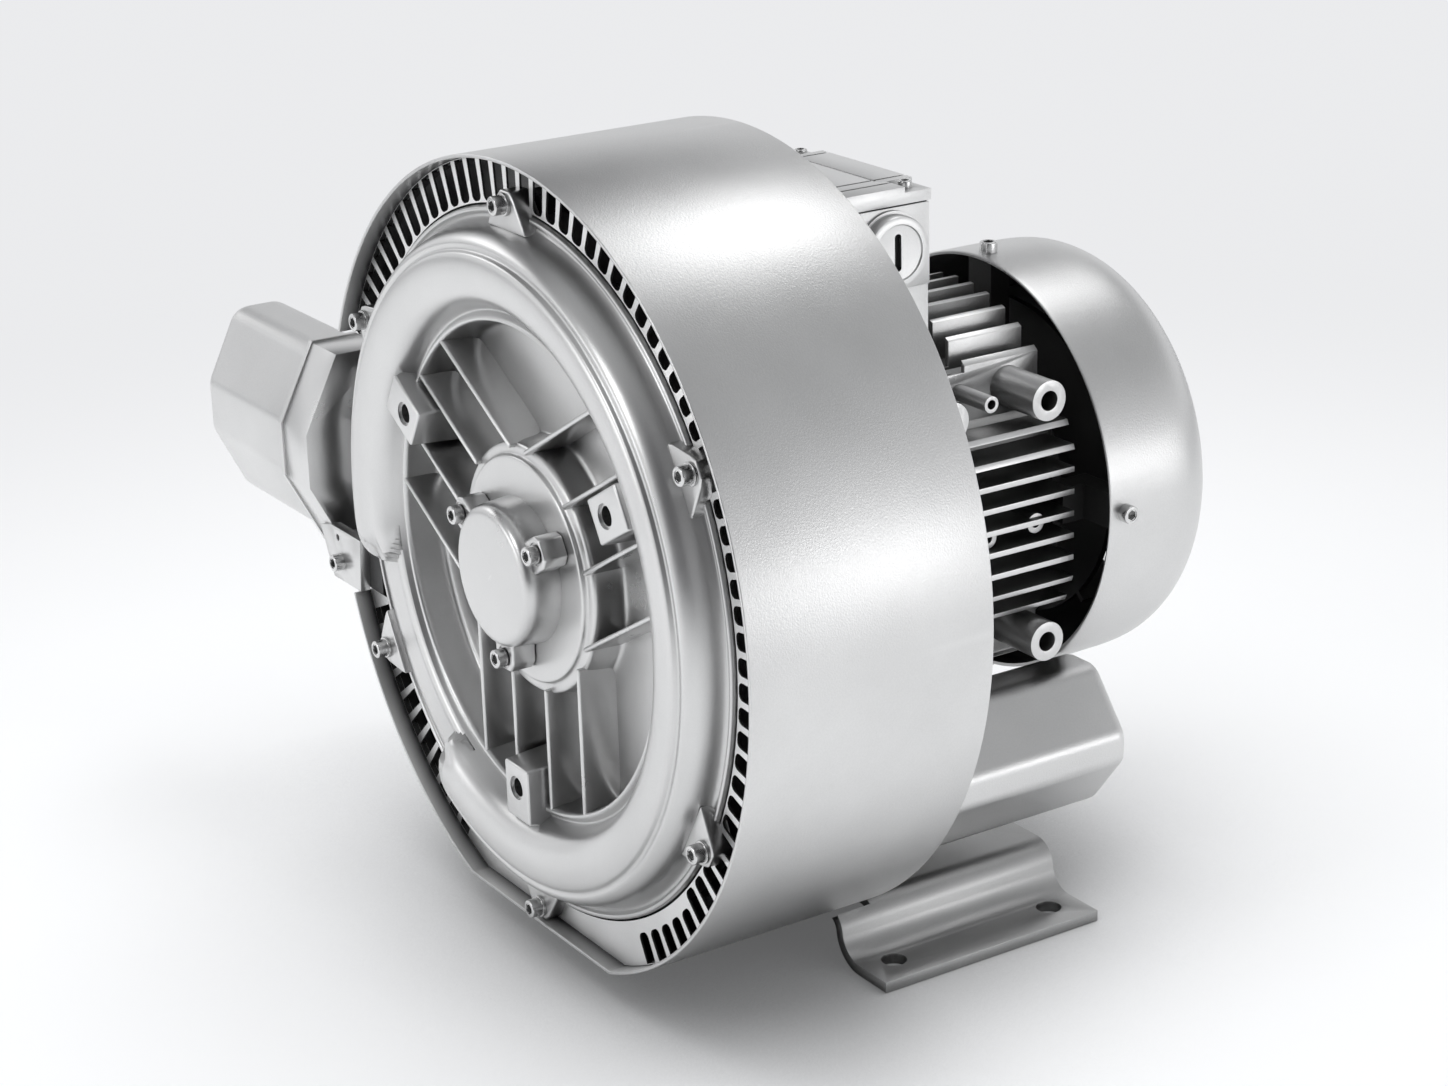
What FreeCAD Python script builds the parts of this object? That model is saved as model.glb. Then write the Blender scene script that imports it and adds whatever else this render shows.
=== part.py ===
import FreeCAD, Part
import math
import os
import Sketcher
from FreeCAD import Placement, Rotation, Vector

# Two stage side channel blower. Every piece is drawn about the shaft axis: x to the right, y to the
# rear from the front edge of the shroud, z up. The placement of each piece then puts the middle of
# the four foot holes on the floor at the origin.

doc = FreeCAD.newDocument("side_channel_blower")
sheet = doc.addObject("Spreadsheet::Sheet", "dims")


class Size:
    # a number together with the cell expression it comes from
    def __init__(self, number, text):
        self.number = number
        self.text = text

    def __add__(self, other):
        other = sized(other)
        return Size(self.number + other.number, "(" + self.text + " + " + other.text + ")")

    def __sub__(self, other):
        other = sized(other)
        return Size(self.number - other.number, "(" + self.text + " - " + other.text + ")")

    def __mul__(self, other):
        other = sized(other)
        return Size(self.number * other.number, "(" + self.text + " * " + other.text + ")")

    def __truediv__(self, other):
        other = sized(other)
        return Size(self.number / other.number, "(" + self.text + " / " + other.text + ")")

    def __neg__(self):
        return Size(-self.number, "(0 - " + self.text + ")")

    def __radd__(self, other):
        return sized(other) + self

    def __rsub__(self, other):
        return sized(other) - self

    def __rmul__(self, other):
        return sized(other) * self


def sized(value):
    if isinstance(value, Size):
        return value
    return Size(float(value), repr(float(value)))


def root(value):
    return Size(math.sqrt(value.number), "sqrt(" + value.text + ")")


class Sizes:
    pass


d = Sizes()
full_turn = 360

# driving dimensions in millimetres, degrees and counts; each becomes a named cell of the sheet
values = {
    # fits
    "running_gap": 0.5, "seat_gap": 0.3, "bearing_play": 0.05, "hole_gap": 0.3,
    # shroud and guard ring; the rim of the casings at which the motor and ports have the sizes below
    "rim_standard": 189,
    "floor_gap": 19, "shroud_radius": 216, "shroud_wall": 2, "shroud_chord": 13, "shroud_lip": 6,
    "shroud_cut_low": 74, "shroud_cut_high": 84, "shroud_cut_depth": 86,
    "ring_front": 15, "ring_plate": 3, "slot_width": 4.9, "slot_count": 168, "slot_margin": 3.5,
    # front cover
    "rim_inset": 27, "rim_front": 9, "rim_lip": 1.5, "joint_front": 28, "bulge_front": 14,
    "groove_inset": 19, "bulge_inset": 39, "valley_inset": 51, "recess_inset": 58,
    "valley_floor": 8, "recess_floor": 22, "hub_radius": 67, "hub_front": 2,
    "rib_wall": 3.2, "rib_near": 17.5, "rib_far": 52.5,
    "pad_front": 9, "pad_width": 28, "pad_length": 32, "pad_hole": 5.1, "pad_hole_depth": 22,
    "lug_front": 2, "lug_root_width": 17, "lug_tip_width": 7, "lug_count": 6, "lug_inset": 4.5,
    "channel_width": 38, "channel_depth": 14, "stripper_start": 195, "stripper_end": 234,
    "stripper_face": 3,
    # impellers and casings
    "impeller_inset": 8, "impeller_width": 28, "impeller_web": 10, "impeller_hub": 44,
    "vane_inset": 41, "vane_wall": 2.6, "vane_core": 4, "vane_count": 36,
    "stage_pitch": 56, "side_groove": 9, "rear_wall": 23, "casing_bore": 34,
    "casing_lug": 16, "casing_grip": 24,
    # shaft and bearings
    "bearing_bore": 15, "bearing_outer": 31, "bearing_width": 16, "ball_size": 4.76,
    "drive_bore": 20, "drive_outer": 40, "drive_width": 18, "drive_ball": 5.95,
    "impeller_seat": 19, "shaft_core": 24, "fan_seat": 14, "shaft_front": 2,
    "clip_wall": 1.7, "clip_groove": 1.3, "key_width": 6, "key_height": 6.5,
    # bearing cap
    "cap_radius": 38.5, "cap_front": 18, "cap_wall": 5, "cap_ear_circle": 45.5, "cap_ear_front": 12,
    "cap_ear_width": 9,
    # screws
    "screw_radius": 3, "head_radius": 5, "head_height": 6, "washer_radius": 6, "washer_wall": 1.6,
    "socket_flat": 2.5, "big_screw_radius": 4, "big_head_radius": 6.5, "big_head_height": 8,
    # motor
    "flange_margin": 6, "flange_plate": 14, "flange_spigot": 6,
    "frame_length": 135, "frame_bore": 74, "frame_half": 80, "frame_corner": 56,
    "fin_wall": 3, "fin_relief": 35, "fin_pitch": 12.5, "side_fin": 104, "top_fin": 115, "fin_trim": 110,
    "side_fin_count": 9, "top_fin_count": 11, "top_fin_pitch": 14,
    "stator_length": 86, "stator_bore": 44.6, "rotor_radius": 44, "winding_reach": 13,
    "winding_inner": 50, "winding_outer": 70,
    "boss_radius": 11, "boss_hole": 5.5, "boss_face": 108, "boss_pitch": 64, "boss_height": 68,
    "small_boss_radius": 5.5, "small_boss_hole": 2.6, "small_boss_face": 100,
    "shield_plate": 6, "cowl_radius": 120, "cowl_wall": 2, "cowl_length": 81, "cowl_gap": 10,
    "cowl_bend": 32, "cowl_lug_half": 10, "cowl_slot_inner": 26, "cowl_slot_outer": 78,
    "cowl_slot_width": 6, "cowl_slot_count": 20,
    "fan_disc": 4, "fan_length": 26, "fan_radius": 98, "fan_hub": 24, "blade_wall": 3, "blade_count": 8,
    # terminal box
    "box_half": 57, "box_length": 72, "box_rise": 48, "box_height": 44, "box_wall": 4, "lid_height": 9,
    "pedestal_step": 0.6, "lid_screw_inset": 9, "plug_radius": 19.5, "plug_rise": 22, "plug_inset": 26,
    "plug_reach": 7, "entry_radius": 16, "gland_radius": 19, "gland_reach": 28, "gland_bore": 8,
    # inlet port on the left
    "port_along": 30, "port_half_width": 37, "port_half_height": 58, "port_flat_half": 16,
    "port_side_half": 15, "port_wall": 4, "port_corner": 14, "port_length": 113, "collar_length": 31,
    "neck_length": 15, "port_flange": 3.5, "port_bore": 30, "port_end_wall": 8,
    "duct_half_height": 46, "duct_half_width": 18, "duct_along": 42,
    "ear_face": 8, "ear_plate": 6, "ear_low": 70, "ear_height": 30, "foam_wall": 9,
    # outlet port to the rear
    "outlet_x": 87, "outlet_inset": 54, "outlet_half_width": 38, "outlet_half_height": 41,
    "outlet_flat_half": 12, "outlet_side_half": 8, "outlet_collar": 34, "outlet_length": 126,
    "outlet_corner": 12, "outlet_bore": 25, "outlet_ear": 13,
    # foot
    "foot_x": 127, "foot_pitch": 105, "foot_length": 143, "foot_hole": 7, "foot_margin": 19,
    "foot_plate": 6, "foot_run": 28, "bridge_inset": 12, "foot_back": 61,
    "riser_half": 27, "riser_length": 80, "riser_plate": 6,
}
# what the maker scales with the casings across the range of machines
grows_with_rim = (
    "frame_bore", "frame_half", "frame_corner", "fin_pitch",
    "side_fin", "top_fin", "fin_trim", "top_fin_pitch", "stator_bore", "rotor_radius", "winding_inner",
    "winding_outer", "boss_face", "boss_height", "small_boss_face", "cowl_radius", "fan_radius",
    "cowl_slot_inner", "cowl_slot_outer", "shroud_cut_low", "shroud_cut_high", "port_half_height",
    "duct_half_height", "ear_low", "outlet_x", "outlet_inset", "outlet_half_width",
    "outlet_half_height", "outlet_flat_half", "outlet_side_half", "foot_x",
)
for row, (name, number) in enumerate(values.items(), 1):
    sheet.set("A%d" % row, name)
    sheet.set("B%d" % row, str(number))
    sheet.setAlias("B%d" % row, name)
    setattr(d, name, Size(float(number), "dims." + name))

# radii that follow from the shroud
d.shroud_flat = d.shroud_radius - d.shroud_chord
d.shaft_height = d.shroud_flat + d.floor_gap
d.rim_radius = d.shroud_radius - d.rim_inset
d.growth = d.rim_radius / d.rim_standard
for name in grows_with_rim:
    setattr(d, name, getattr(d, name) * d.growth)
d.flange_screw_circle = (d.frame_half + d.frame_corner) * 0.7071 + d.big_head_radius + 0.5
d.flange_radius = d.flange_screw_circle + d.flange_margin
d.ring_inner = d.rim_radius + 1
d.slot_inner = d.ring_inner + 4
d.slot_outer = d.shroud_radius - d.shroud_wall - d.slot_margin
d.lug_circle = d.rim_radius + d.lug_inset
d.lug_reach = d.shroud_flat - d.shroud_wall - d.running_gap
d.cover_groove = d.rim_radius - d.groove_inset
d.bulge_inner = d.rim_radius - d.bulge_inset
d.valley_radius = d.rim_radius - d.valley_inset
d.recess_radius = d.rim_radius - d.recess_inset
d.pad_outer = d.recess_radius + 7
d.pad_inner = d.pad_outer - d.pad_length
d.pad_circle = d.pad_outer - d.pad_length / 2
d.impeller_radius = d.rim_radius - d.impeller_inset
d.channel_outer = d.impeller_radius
d.channel_inner = d.channel_outer - d.channel_width
d.vane_inner = d.impeller_radius - d.vane_inset

# stations along the shaft
d.flange_front = d.joint_front + d.stage_pitch + d.impeller_width + 1 + d.rear_wall
d.shroud_depth = d.flange_front + d.shroud_lip
d.front_bearing_at = d.hub_front
d.drive_bearing_at = d.flange_front + 4
d.frame_front = d.flange_front + d.flange_plate
d.frame_rear = d.frame_front + d.frame_length
d.fin_front = d.frame_front + 12
d.fin_rear = d.frame_rear - 2
d.stator_front = d.frame_front + 22
d.stator_rear = d.stator_front + d.stator_length
d.boss_front_y = d.frame_front + 48
d.boss_rear_y = d.boss_front_y + d.boss_pitch
d.rear_bearing_at = d.frame_rear - 4
d.cowl_front = d.frame_rear + d.cowl_gap
d.cowl_rear = d.cowl_front + d.cowl_length
d.cowl_screw_at = d.cowl_front + 10
d.cowl_lug_rear = d.cowl_screw_at + 7
d.fan_front = d.cowl_lug_rear + 6
d.fan_rear = d.fan_front + d.fan_length
d.shaft_rear = d.fan_rear + 5
d.foot_centre = d.flange_front + d.foot_back

# terminal box on its pedestal
d.box_front = d.frame_front
d.box_rear = d.box_front + d.box_length
d.pedestal_front = d.box_front + 10
d.pedestal_rear = d.box_rear - d.pedestal_step
d.pedestal_half = d.box_half - d.pedestal_step
d.box_floor = d.frame_half + d.box_rise
d.box_seam = d.box_floor + d.box_height
d.plug_height = d.box_floor + d.plug_rise
d.plug_along = d.box_rear - d.plug_inset

# ports
d.port_neck = -d.shroud_radius - d.neck_length
d.port_seam = d.port_neck - d.collar_length
d.port_end = d.port_seam - d.port_length
d.ear_screw_x = d.port_neck + 11
d.ear_screw_z = -d.ear_low + 10
d.outlet_z = -d.rim_radius + d.outlet_inset
d.outlet_neck = d.flange_front + 10
d.outlet_seam = d.outlet_neck + d.outlet_collar
d.outlet_end = d.outlet_seam + d.outlet_length

# foot under the shroud and the motor
d.bridge_drop = d.shroud_flat - d.bridge_inset
d.foot_rise = d.shaft_height - d.bridge_drop
d.foot_knee = d.foot_x - 6
d.foot_edge = d.foot_x + d.foot_margin
d.foot_notch = root(d.shroud_radius * d.shroud_radius - d.bridge_drop * d.bridge_drop) + 1
d.bridge_front = d.shroud_depth + 5
d.riser_front = d.flange_front
d.riser_rear = d.riser_front + d.riser_length
d.riser_top = -d.flange_radius

doc.recompute()


# drawing helpers

def body(name):
    piece = doc.addObject("PartDesign::Body", name)
    piece.Label = name
    piece.setExpression("Placement.Base.y", (-d.foot_centre).text)
    piece.setExpression("Placement.Base.z", d.shaft_height.text)
    return piece


def origin_plane(piece, role):
    for feature in piece.Origin.OriginFeatures:
        if feature.Role == role:
            return feature
    raise ValueError(role)


def arc_geometry(first, last, radius, left, large):
    # the arc from first to last, bending left or right, drawn counter clockwise
    mid = (first + last) * 0.5
    chord = last - first
    half = chord.Length / 2
    away = math.sqrt(max(radius * radius - half * half, 0))
    side = Vector(-chord.y, chord.x, 0).normalize()
    if left != large:
        centre = mid + side * away
    else:
        centre = mid - side * away
    if left:
        begin, finish = first, last
    else:
        begin, finish = last, first
    a0 = math.atan2(begin.y - centre.y, begin.x - centre.x)
    a1 = math.atan2(finish.y - centre.y, finish.x - centre.x)
    while a1 <= a0:
        a1 += 2 * math.pi
    return Part.ArcOfCircle(Part.Circle(centre, Vector(0, 0, 1), radius), a0, a1)


def fix_point(sketch, rules, bound, geo, end, x, y):
    for kind, value in (("DistanceX", x), ("DistanceY", y)):
        rules.append(Sketcher.Constraint(kind, -1, 1, geo, end, value.number))
        bound.append(value)


def add_loop(sketch, points):
    # a closed outline; a point may carry (x, y, radius, "left" or "right", "large") for an arc to it
    count = len(points)
    spots = [(sized(p[0]), sized(p[1])) for p in points]
    base = sketch.GeometryCount
    rules = []
    bound = []
    ends = []
    for index in range(count):
        before = spots[index - 1]
        here = spots[index]
        first = Vector(before[0].number, before[1].number, 0)
        last = Vector(here[0].number, here[1].number, 0)
        item = points[index]
        if len(item) > 2:
            left = item[3] == "left"
            large = len(item) > 4
            sketch.addGeometry(arc_geometry(first, last, sized(item[2]).number, left, large))
            ends.append((1, 2) if left else (2, 1))
        else:
            sketch.addGeometry(Part.LineSegment(first, last))
            ends.append((1, 2))
    for index in range(count):
        follow = (index + 1) % count
        rules.append(Sketcher.Constraint("Coincident", base + index, ends[index][1],
                                         base + follow, ends[follow][0]))
        bound.append(None)
        fix_point(sketch, rules, bound, base + index, ends[index][1], *spots[index])
        if len(points[index]) > 2:
            radius = sized(points[index][2])
            rules.append(Sketcher.Constraint("Radius", base + index, radius.number))
            bound.append(radius)
    bind(sketch, rules, bound)


def add_circle(sketch, x, y, radius):
    x, y, radius = sized(x), sized(y), sized(radius)
    geo = sketch.GeometryCount
    sketch.addGeometry(Part.Circle(Vector(x.number, y.number, 0), Vector(0, 0, 1), radius.number))
    rules = []
    bound = []
    fix_point(sketch, rules, bound, geo, 3, x, y)
    rules.append(Sketcher.Constraint("Radius", geo, radius.number))
    bound.append(radius)
    bind(sketch, rules, bound)


def bind(sketch, rules, bound):
    start = sketch.ConstraintCount
    sketch.addConstraint(rules)
    for index, value in enumerate(bound):
        if value is not None and "dims." in value.text:
            sketch.setExpression("Constraints[%d]" % (start + index), value.text)


def sketch_on(piece, plane, name, loops, at=None, turn=None):
    sketch = piece.newObject("Sketcher::SketchObject", piece.Name + "_" + name)
    sketch.AttachmentSupport = (origin_plane(piece, plane + "_Plane"), [""])
    sketch.MapMode = "FlatFace"
    if turn is not None:
        sketch.AttachmentOffset = Placement(Vector(), Rotation(Vector(0, -1, 0), turn.number))
        sketch.setExpression("AttachmentOffset.Rotation.Angle", turn.text)
    if at is not None:
        at = sized(at)
        if plane == "XZ":
            at = -at
        sketch.AttachmentOffset = Placement(Vector(0, 0, at.number), Rotation())
        if "dims." in at.text:
            sketch.setExpression("AttachmentOffset.Base.z", at.text)
    for loop in loops:
        if len(loop) == 3 and not isinstance(loop[0], tuple):
            add_circle(sketch, *loop)
        else:
            add_loop(sketch, loop)
    return sketch


def set_size(feature, prop, value):
    value = sized(value)
    whole = prop == "Occurrences"
    setattr(feature, prop, int(value.number) if whole else value.number)
    if "dims." in value.text:
        feature.setExpression(prop, value.text)


def add(piece, plane, name, loops, low, high):
    # material between two stations along the axis square to the plane
    low, high = sized(low), sized(high)
    sketch = sketch_on(piece, plane, name, loops, high if plane == "XZ" else low)
    feature = piece.newObject("PartDesign::Pad", piece.Name + "_" + name + "_pad")
    feature.Profile = sketch
    set_size(feature, "Length", high - low)
    return feature


def cut(piece, plane, name, loops, low, high):
    # material taken away between two stations along the axis square to the plane
    low, high = sized(low), sized(high)
    sketch = sketch_on(piece, plane, name, loops, low if plane == "XZ" else high)
    feature = piece.newObject("PartDesign::Pocket", piece.Name + "_" + name + "_cut")
    feature.Profile = sketch
    set_size(feature, "Length", high - low)
    return feature


def turned(piece, name, loops):
    # outlines of radius and station turned once about the shaft axis
    sketch = sketch_on(piece, "XY", name, loops)
    feature = piece.newObject("PartDesign::Revolution", piece.Name + "_" + name + "_turn")
    feature.Profile = sketch
    feature.ReferenceAxis = (sketch, ["V_Axis"])
    feature.Angle = full_turn
    return feature


def grooved(piece, name, loops, start=None, sweep=None):
    # the same, taken away; with a start angle and a sweep it covers only part of the turn
    sketch = sketch_on(piece, "XY", name, loops, turn=start)
    feature = piece.newObject("PartDesign::Groove", piece.Name + "_" + name + "_groove")
    feature.Profile = sketch
    feature.ReferenceAxis = (sketch, ["V_Axis"])
    if sweep is None:
        feature.Angle = full_turn
    else:
        set_size(feature, "Angle", sweep)
        feature.Reversed = True
    return feature


def around(piece, name, features, count):
    feature = piece.newObject("PartDesign::PolarPattern", piece.Name + "_" + name)
    feature.Originals = features
    feature.Axis = (origin_plane(piece, "Y_Axis"), [""])
    feature.Angle = full_turn
    set_size(feature, "Occurrences", count)
    piece.Tip = feature
    return feature


def in_line(piece, name, features, axis, pitch, count):
    feature = piece.newObject("PartDesign::LinearPattern", piece.Name + "_" + name)
    feature.Originals = features
    feature.Direction = (origin_plane(piece, axis + "_Axis"), [""])
    count = sized(count)
    set_size(feature, "Length", pitch * (count - 1))
    set_size(feature, "Occurrences", count)
    piece.Tip = feature
    return feature


def rounded(piece, name, base, radius, wanted):
    doc.recompute()
    edges = ["Edge%d" % (i + 1) for i, edge in enumerate(base.Shape.Edges) if wanted(edge)]
    feature = piece.newObject("PartDesign::Fillet", piece.Name + "_" + name)
    feature.Base = (base, edges)
    set_size(feature, "Radius", radius)
    return feature


def box(x0, x1, y0, y1):
    return [(x0, y0), (x1, y0), (x1, y1), (x0, y1)]


def lens(cx, cy, half_x, half_y, flat_x, flat_y):
    # the silencer section: flat top and foot, upright middle, leaning sides
    return [(cx - flat_x, cy + half_y), (cx - half_x, cy + flat_y), (cx - half_x, cy - flat_y),
            (cx - flat_x, cy - half_y), (cx + flat_x, cy - half_y), (cx + half_x, cy - flat_y),
            (cx + half_x, cy + flat_y), (cx + flat_x, cy + half_y)]


def at_angle(radius, degrees):
    angle = math.radians(degrees)
    return radius * math.cos(angle), radius * math.sin(angle)


def group(name, solids):
    # identical small pieces kept together as separate solids
    piece = doc.addObject("Part::Feature", name)
    piece.Label = name
    piece.Shape = Part.makeCompound(solids)
    piece.Placement = Placement(Vector(0, -d.foot_centre.number, d.shaft_height.number), Rotation())
    return piece


def socket_screw(seat, along, radius, length, head_radius, head_height, flat):
    # head on its seat, shank running the other way from along, hexagon socket in the head
    shank = Part.makeCylinder(radius, length, seat, along * -1)
    head = Part.makeCylinder(head_radius, head_height, seat, along)
    corner = flat / math.cos(math.radians(30))
    points = [Vector(*at_angle(corner, 60 * i), 0) for i in range(7)]
    socket = Part.Face(Part.makePolygon(points)).extrude(Vector(0, 0, head_height / 2))
    socket.Placement = Placement(seat + along * (head_height / 2), Rotation(Vector(0, 0, 1), along))
    return shank.fuse(head).removeSplitter().cut(socket)


def small_screw(seat, along, length):
    return socket_screw(seat, along, d.screw_radius.number, length, d.head_radius.number,
                        d.head_height.number, d.socket_flat.number)


front = Vector(0, -1, 0)
lug_angles = range(30, 30 + full_turn, 60)


# housing

def chorded(radius, flat):
    # a circle whose foot is cut off level
    half = root(radius * radius - flat * flat)
    return [(half, -flat, radius, "right", "large"), (-half, -flat)], half


def shroud():
    piece = body("shroud")
    outer, half = chorded(d.shroud_radius, d.shroud_flat)
    inner, half = chorded(d.shroud_radius - d.shroud_wall, d.shroud_flat - d.shroud_wall)
    add(piece, "XZ", "sheet", [outer, inner], 0, d.shroud_depth)
    opening = box(-d.shroud_radius - 10, -d.shroud_radius + 50, -d.shroud_cut_low, d.shroud_cut_high)
    cut(piece, "XZ", "port", [opening], -1, d.shroud_cut_depth)
    return piece


def guard_ring():
    piece = body("guard_ring")
    flat = d.shroud_flat - d.shroud_wall - d.seat_gap
    outer, half = chorded(d.shroud_radius - d.shroud_wall - d.seat_gap, flat)
    back = d.ring_front + d.ring_plate
    add(piece, "XZ", "plate", [outer, (0, 0, d.ring_inner)], d.ring_front, back)
    slot = box(-d.slot_width / 2, d.slot_width / 2, d.slot_inner, d.slot_outer)
    first = cut(piece, "XZ", "slot", [slot], d.ring_front - 1, back + 1)
    around(piece, "slots", [first], d.slot_count)
    strip = box(-half, half, -flat, -flat + 3)
    add(piece, "XZ", "strip", [strip], d.ring_front, back)
    opening = box(-d.shroud_radius - 10, -d.rim_radius + 14, -d.shroud_cut_low + 2, d.shroud_cut_high - 2)
    cut(piece, "XZ", "port", [opening], d.ring_front - 1, back + 1)
    hole = cut(piece, "XZ", "hole", [(0, d.lug_circle, d.screw_radius + 1)], d.ring_front - 1, back + 1)
    around(piece, "holes", [hole], d.lug_count)
    return piece


def front_cover():
    piece = body("front_cover")
    rim = d.rim_radius
    recess = d.recess_radius
    crest = -d.bulge_front
    outline = [
        (d.bearing_outer, d.hub_front), (d.hub_radius - 2, d.hub_front),
        (d.hub_radius, d.hub_front + 2), (d.hub_radius + 1.5, d.recess_floor),
        (recess - 4, d.recess_floor), (recess - 1, d.valley_floor - 4), (recess + 1, d.valley_floor - 5),
        (d.valley_radius, d.valley_floor - 1, 9, "left"), (d.bulge_inner - 4, d.valley_floor - 6, 14, "left"),
        (d.bulge_inner + 6, crest + 1), (d.cover_groove - 9, crest, 16, "right"),
        (d.cover_groove - 1, crest + 3.5, 20, "right"), (d.cover_groove, crest + 6),
        (d.cover_groove + 1.5, crest + 5.5), (rim - 8, d.rim_front + 1, 26, "right"),
        (rim - 4.5, d.rim_front), (rim - 3, d.rim_front - d.rim_lip), (rim - 1, d.rim_front - d.rim_lip),
        (rim, d.rim_front), (rim, d.joint_front), (d.casing_bore - 8, d.joint_front),
        (d.casing_bore - 8, d.front_bearing_at + d.bearing_width),
        (d.bearing_outer, d.front_bearing_at + d.bearing_width)]
    turned(piece, "shell", [outline])
    # side channel behind the bulge, stopped at the stripper
    back = d.joint_front
    depth = d.channel_depth
    bend = (d.channel_outer - d.channel_inner) * 0.53
    channel = [(d.channel_inner, back + 1), (d.channel_inner, back - depth),
               (d.channel_outer, back - depth, bend, "right"), (d.channel_outer, back + 1)]
    sweep = full_turn - (d.stripper_end - d.stripper_start)
    grooved(piece, "channel", [channel], d.stripper_end, sweep)
    band = [(d.channel_inner - 2, crest - 5), (d.rim_radius - 8, crest - 5),
            (d.rim_radius - 8, d.stripper_face), (d.channel_inner - 2, d.stripper_face)]
    grooved(piece, "stripper", [band], d.stripper_start, d.stripper_end - d.stripper_start)
    # three families of straight ribs
    bars = []
    for offset in (-d.rib_far, -d.rib_near, d.rib_near, d.rib_far):
        inner = root(d.hub_radius * d.hub_radius - offset * offset) - 4
        outer = root((recess - 1) * (recess - 1) - offset * offset)
        bars.append(box(offset - d.rib_wall / 2, offset + d.rib_wall / 2, -outer, -inner))
    ribs = add(piece, "XZ", "rib", bars, 0, d.recess_floor + 1)
    pad = box(-d.pad_width / 2, d.pad_width / 2, -d.pad_outer, -d.pad_inner)
    pads = add(piece, "XZ", "pad", [pad], -d.pad_front, d.recess_floor + 1)
    hole = cut(piece, "XZ", "tapping", [(0, -d.pad_circle, d.pad_hole)], -d.pad_front,
               d.pad_hole_depth - d.pad_front)
    around(piece, "families", [ribs, pads, hole], 3)
    # six lugs that carry the cover screws
    root_z = d.rim_radius - 7
    lug = [(-d.lug_root_width, root_z), (d.lug_root_width, root_z), (d.lug_tip_width, d.lug_reach - 3),
           (d.lug_tip_width - 4, d.lug_reach), (-d.lug_tip_width + 4, d.lug_reach),
           (-d.lug_tip_width, d.lug_reach - 3)]
    lug_pad = add(piece, "XZ", "lug", [lug], d.lug_front, d.ring_front)
    lug_hole = cut(piece, "XZ", "lug_hole", [(0, d.lug_circle, d.screw_radius + 0.3)], d.lug_front - 1,
                   d.ring_front + 1)
    around(piece, "lugs", [lug_pad, lug_hole], d.lug_count)
    ears = []
    for angle in (30, 150, 270):
        x, z = at_angle(1, angle)
        ears.append((d.cap_ear_circle * x, d.cap_ear_circle * z, d.screw_radius))
    cut(piece, "XZ", "cap_tapping", ears, d.hub_front, d.hub_front + 14)
    return piece


def bearing_cap():
    piece = body("bearing_cap")
    rim = d.cap_radius
    wall = d.cap_wall
    seat = d.hub_front
    face = -d.cap_front
    outline = [(0, face), (rim - 5, face), (rim, face + 5, 5, "left"),
               (rim, seat), (rim - wall - 4, seat), (rim - wall - 4, face + wall), (0, face + wall)]
    turned(piece, "shell", [outline])
    ear = [(-d.cap_ear_width, -rim + 8), (-d.cap_ear_width, -d.cap_ear_circle - 4),
           (-d.cap_ear_width + 4, -d.cap_ear_circle - 8), (d.cap_ear_width - 4, -d.cap_ear_circle - 8),
           (d.cap_ear_width, -d.cap_ear_circle - 4), (d.cap_ear_width, -rim + 8)]
    lug = add(piece, "XZ", "ear", [ear], -d.cap_ear_front, seat)
    hole = cut(piece, "XZ", "ear_hole", [(0, -d.cap_ear_circle, d.screw_radius + 0.3)],
               -d.cap_ear_front - 1, seat + 1)
    relief = cut(piece, "XZ", "ear_relief", [(0, -d.cap_ear_circle, d.head_radius + 1)],
                 face - 1, -d.cap_ear_front)
    around(piece, "ears", [lug, hole, relief], 3)
    return piece


def casing_lugs(piece, low, high, hole_radius):
    # six lugs for the long cover screws
    lug = [(-d.lug_root_width, d.rim_radius - 4), (d.lug_root_width, d.rim_radius - 4),
           (d.lug_tip_width, d.lug_reach - 3), (-d.lug_tip_width, d.lug_reach - 3)]
    lug_pad = add(piece, "XZ", "lug", [lug], low, high)
    lug_hole = cut(piece, "XZ", "lug_hole", [(0, d.lug_circle, hole_radius)], low - 1, high + 1)
    around(piece, "lugs", [lug_pad, lug_hole], d.lug_count)


def side_channel(piece, name, face, way, depth):
    # groove beside the vanes, stopped at the stripper
    deep = face + way * depth
    bevel = d.channel_width / 8
    channel = [(d.channel_inner, face - way), (d.channel_outer, face - way),
               (d.channel_outer, face + way), (d.channel_outer - bevel, deep),
               (d.channel_inner + bevel, deep), (d.channel_inner, face + way)]
    if way < 0:
        channel.reverse()
    grooved(piece, name, [channel], d.stripper_end, full_turn - (d.stripper_end - d.stripper_start))


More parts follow.
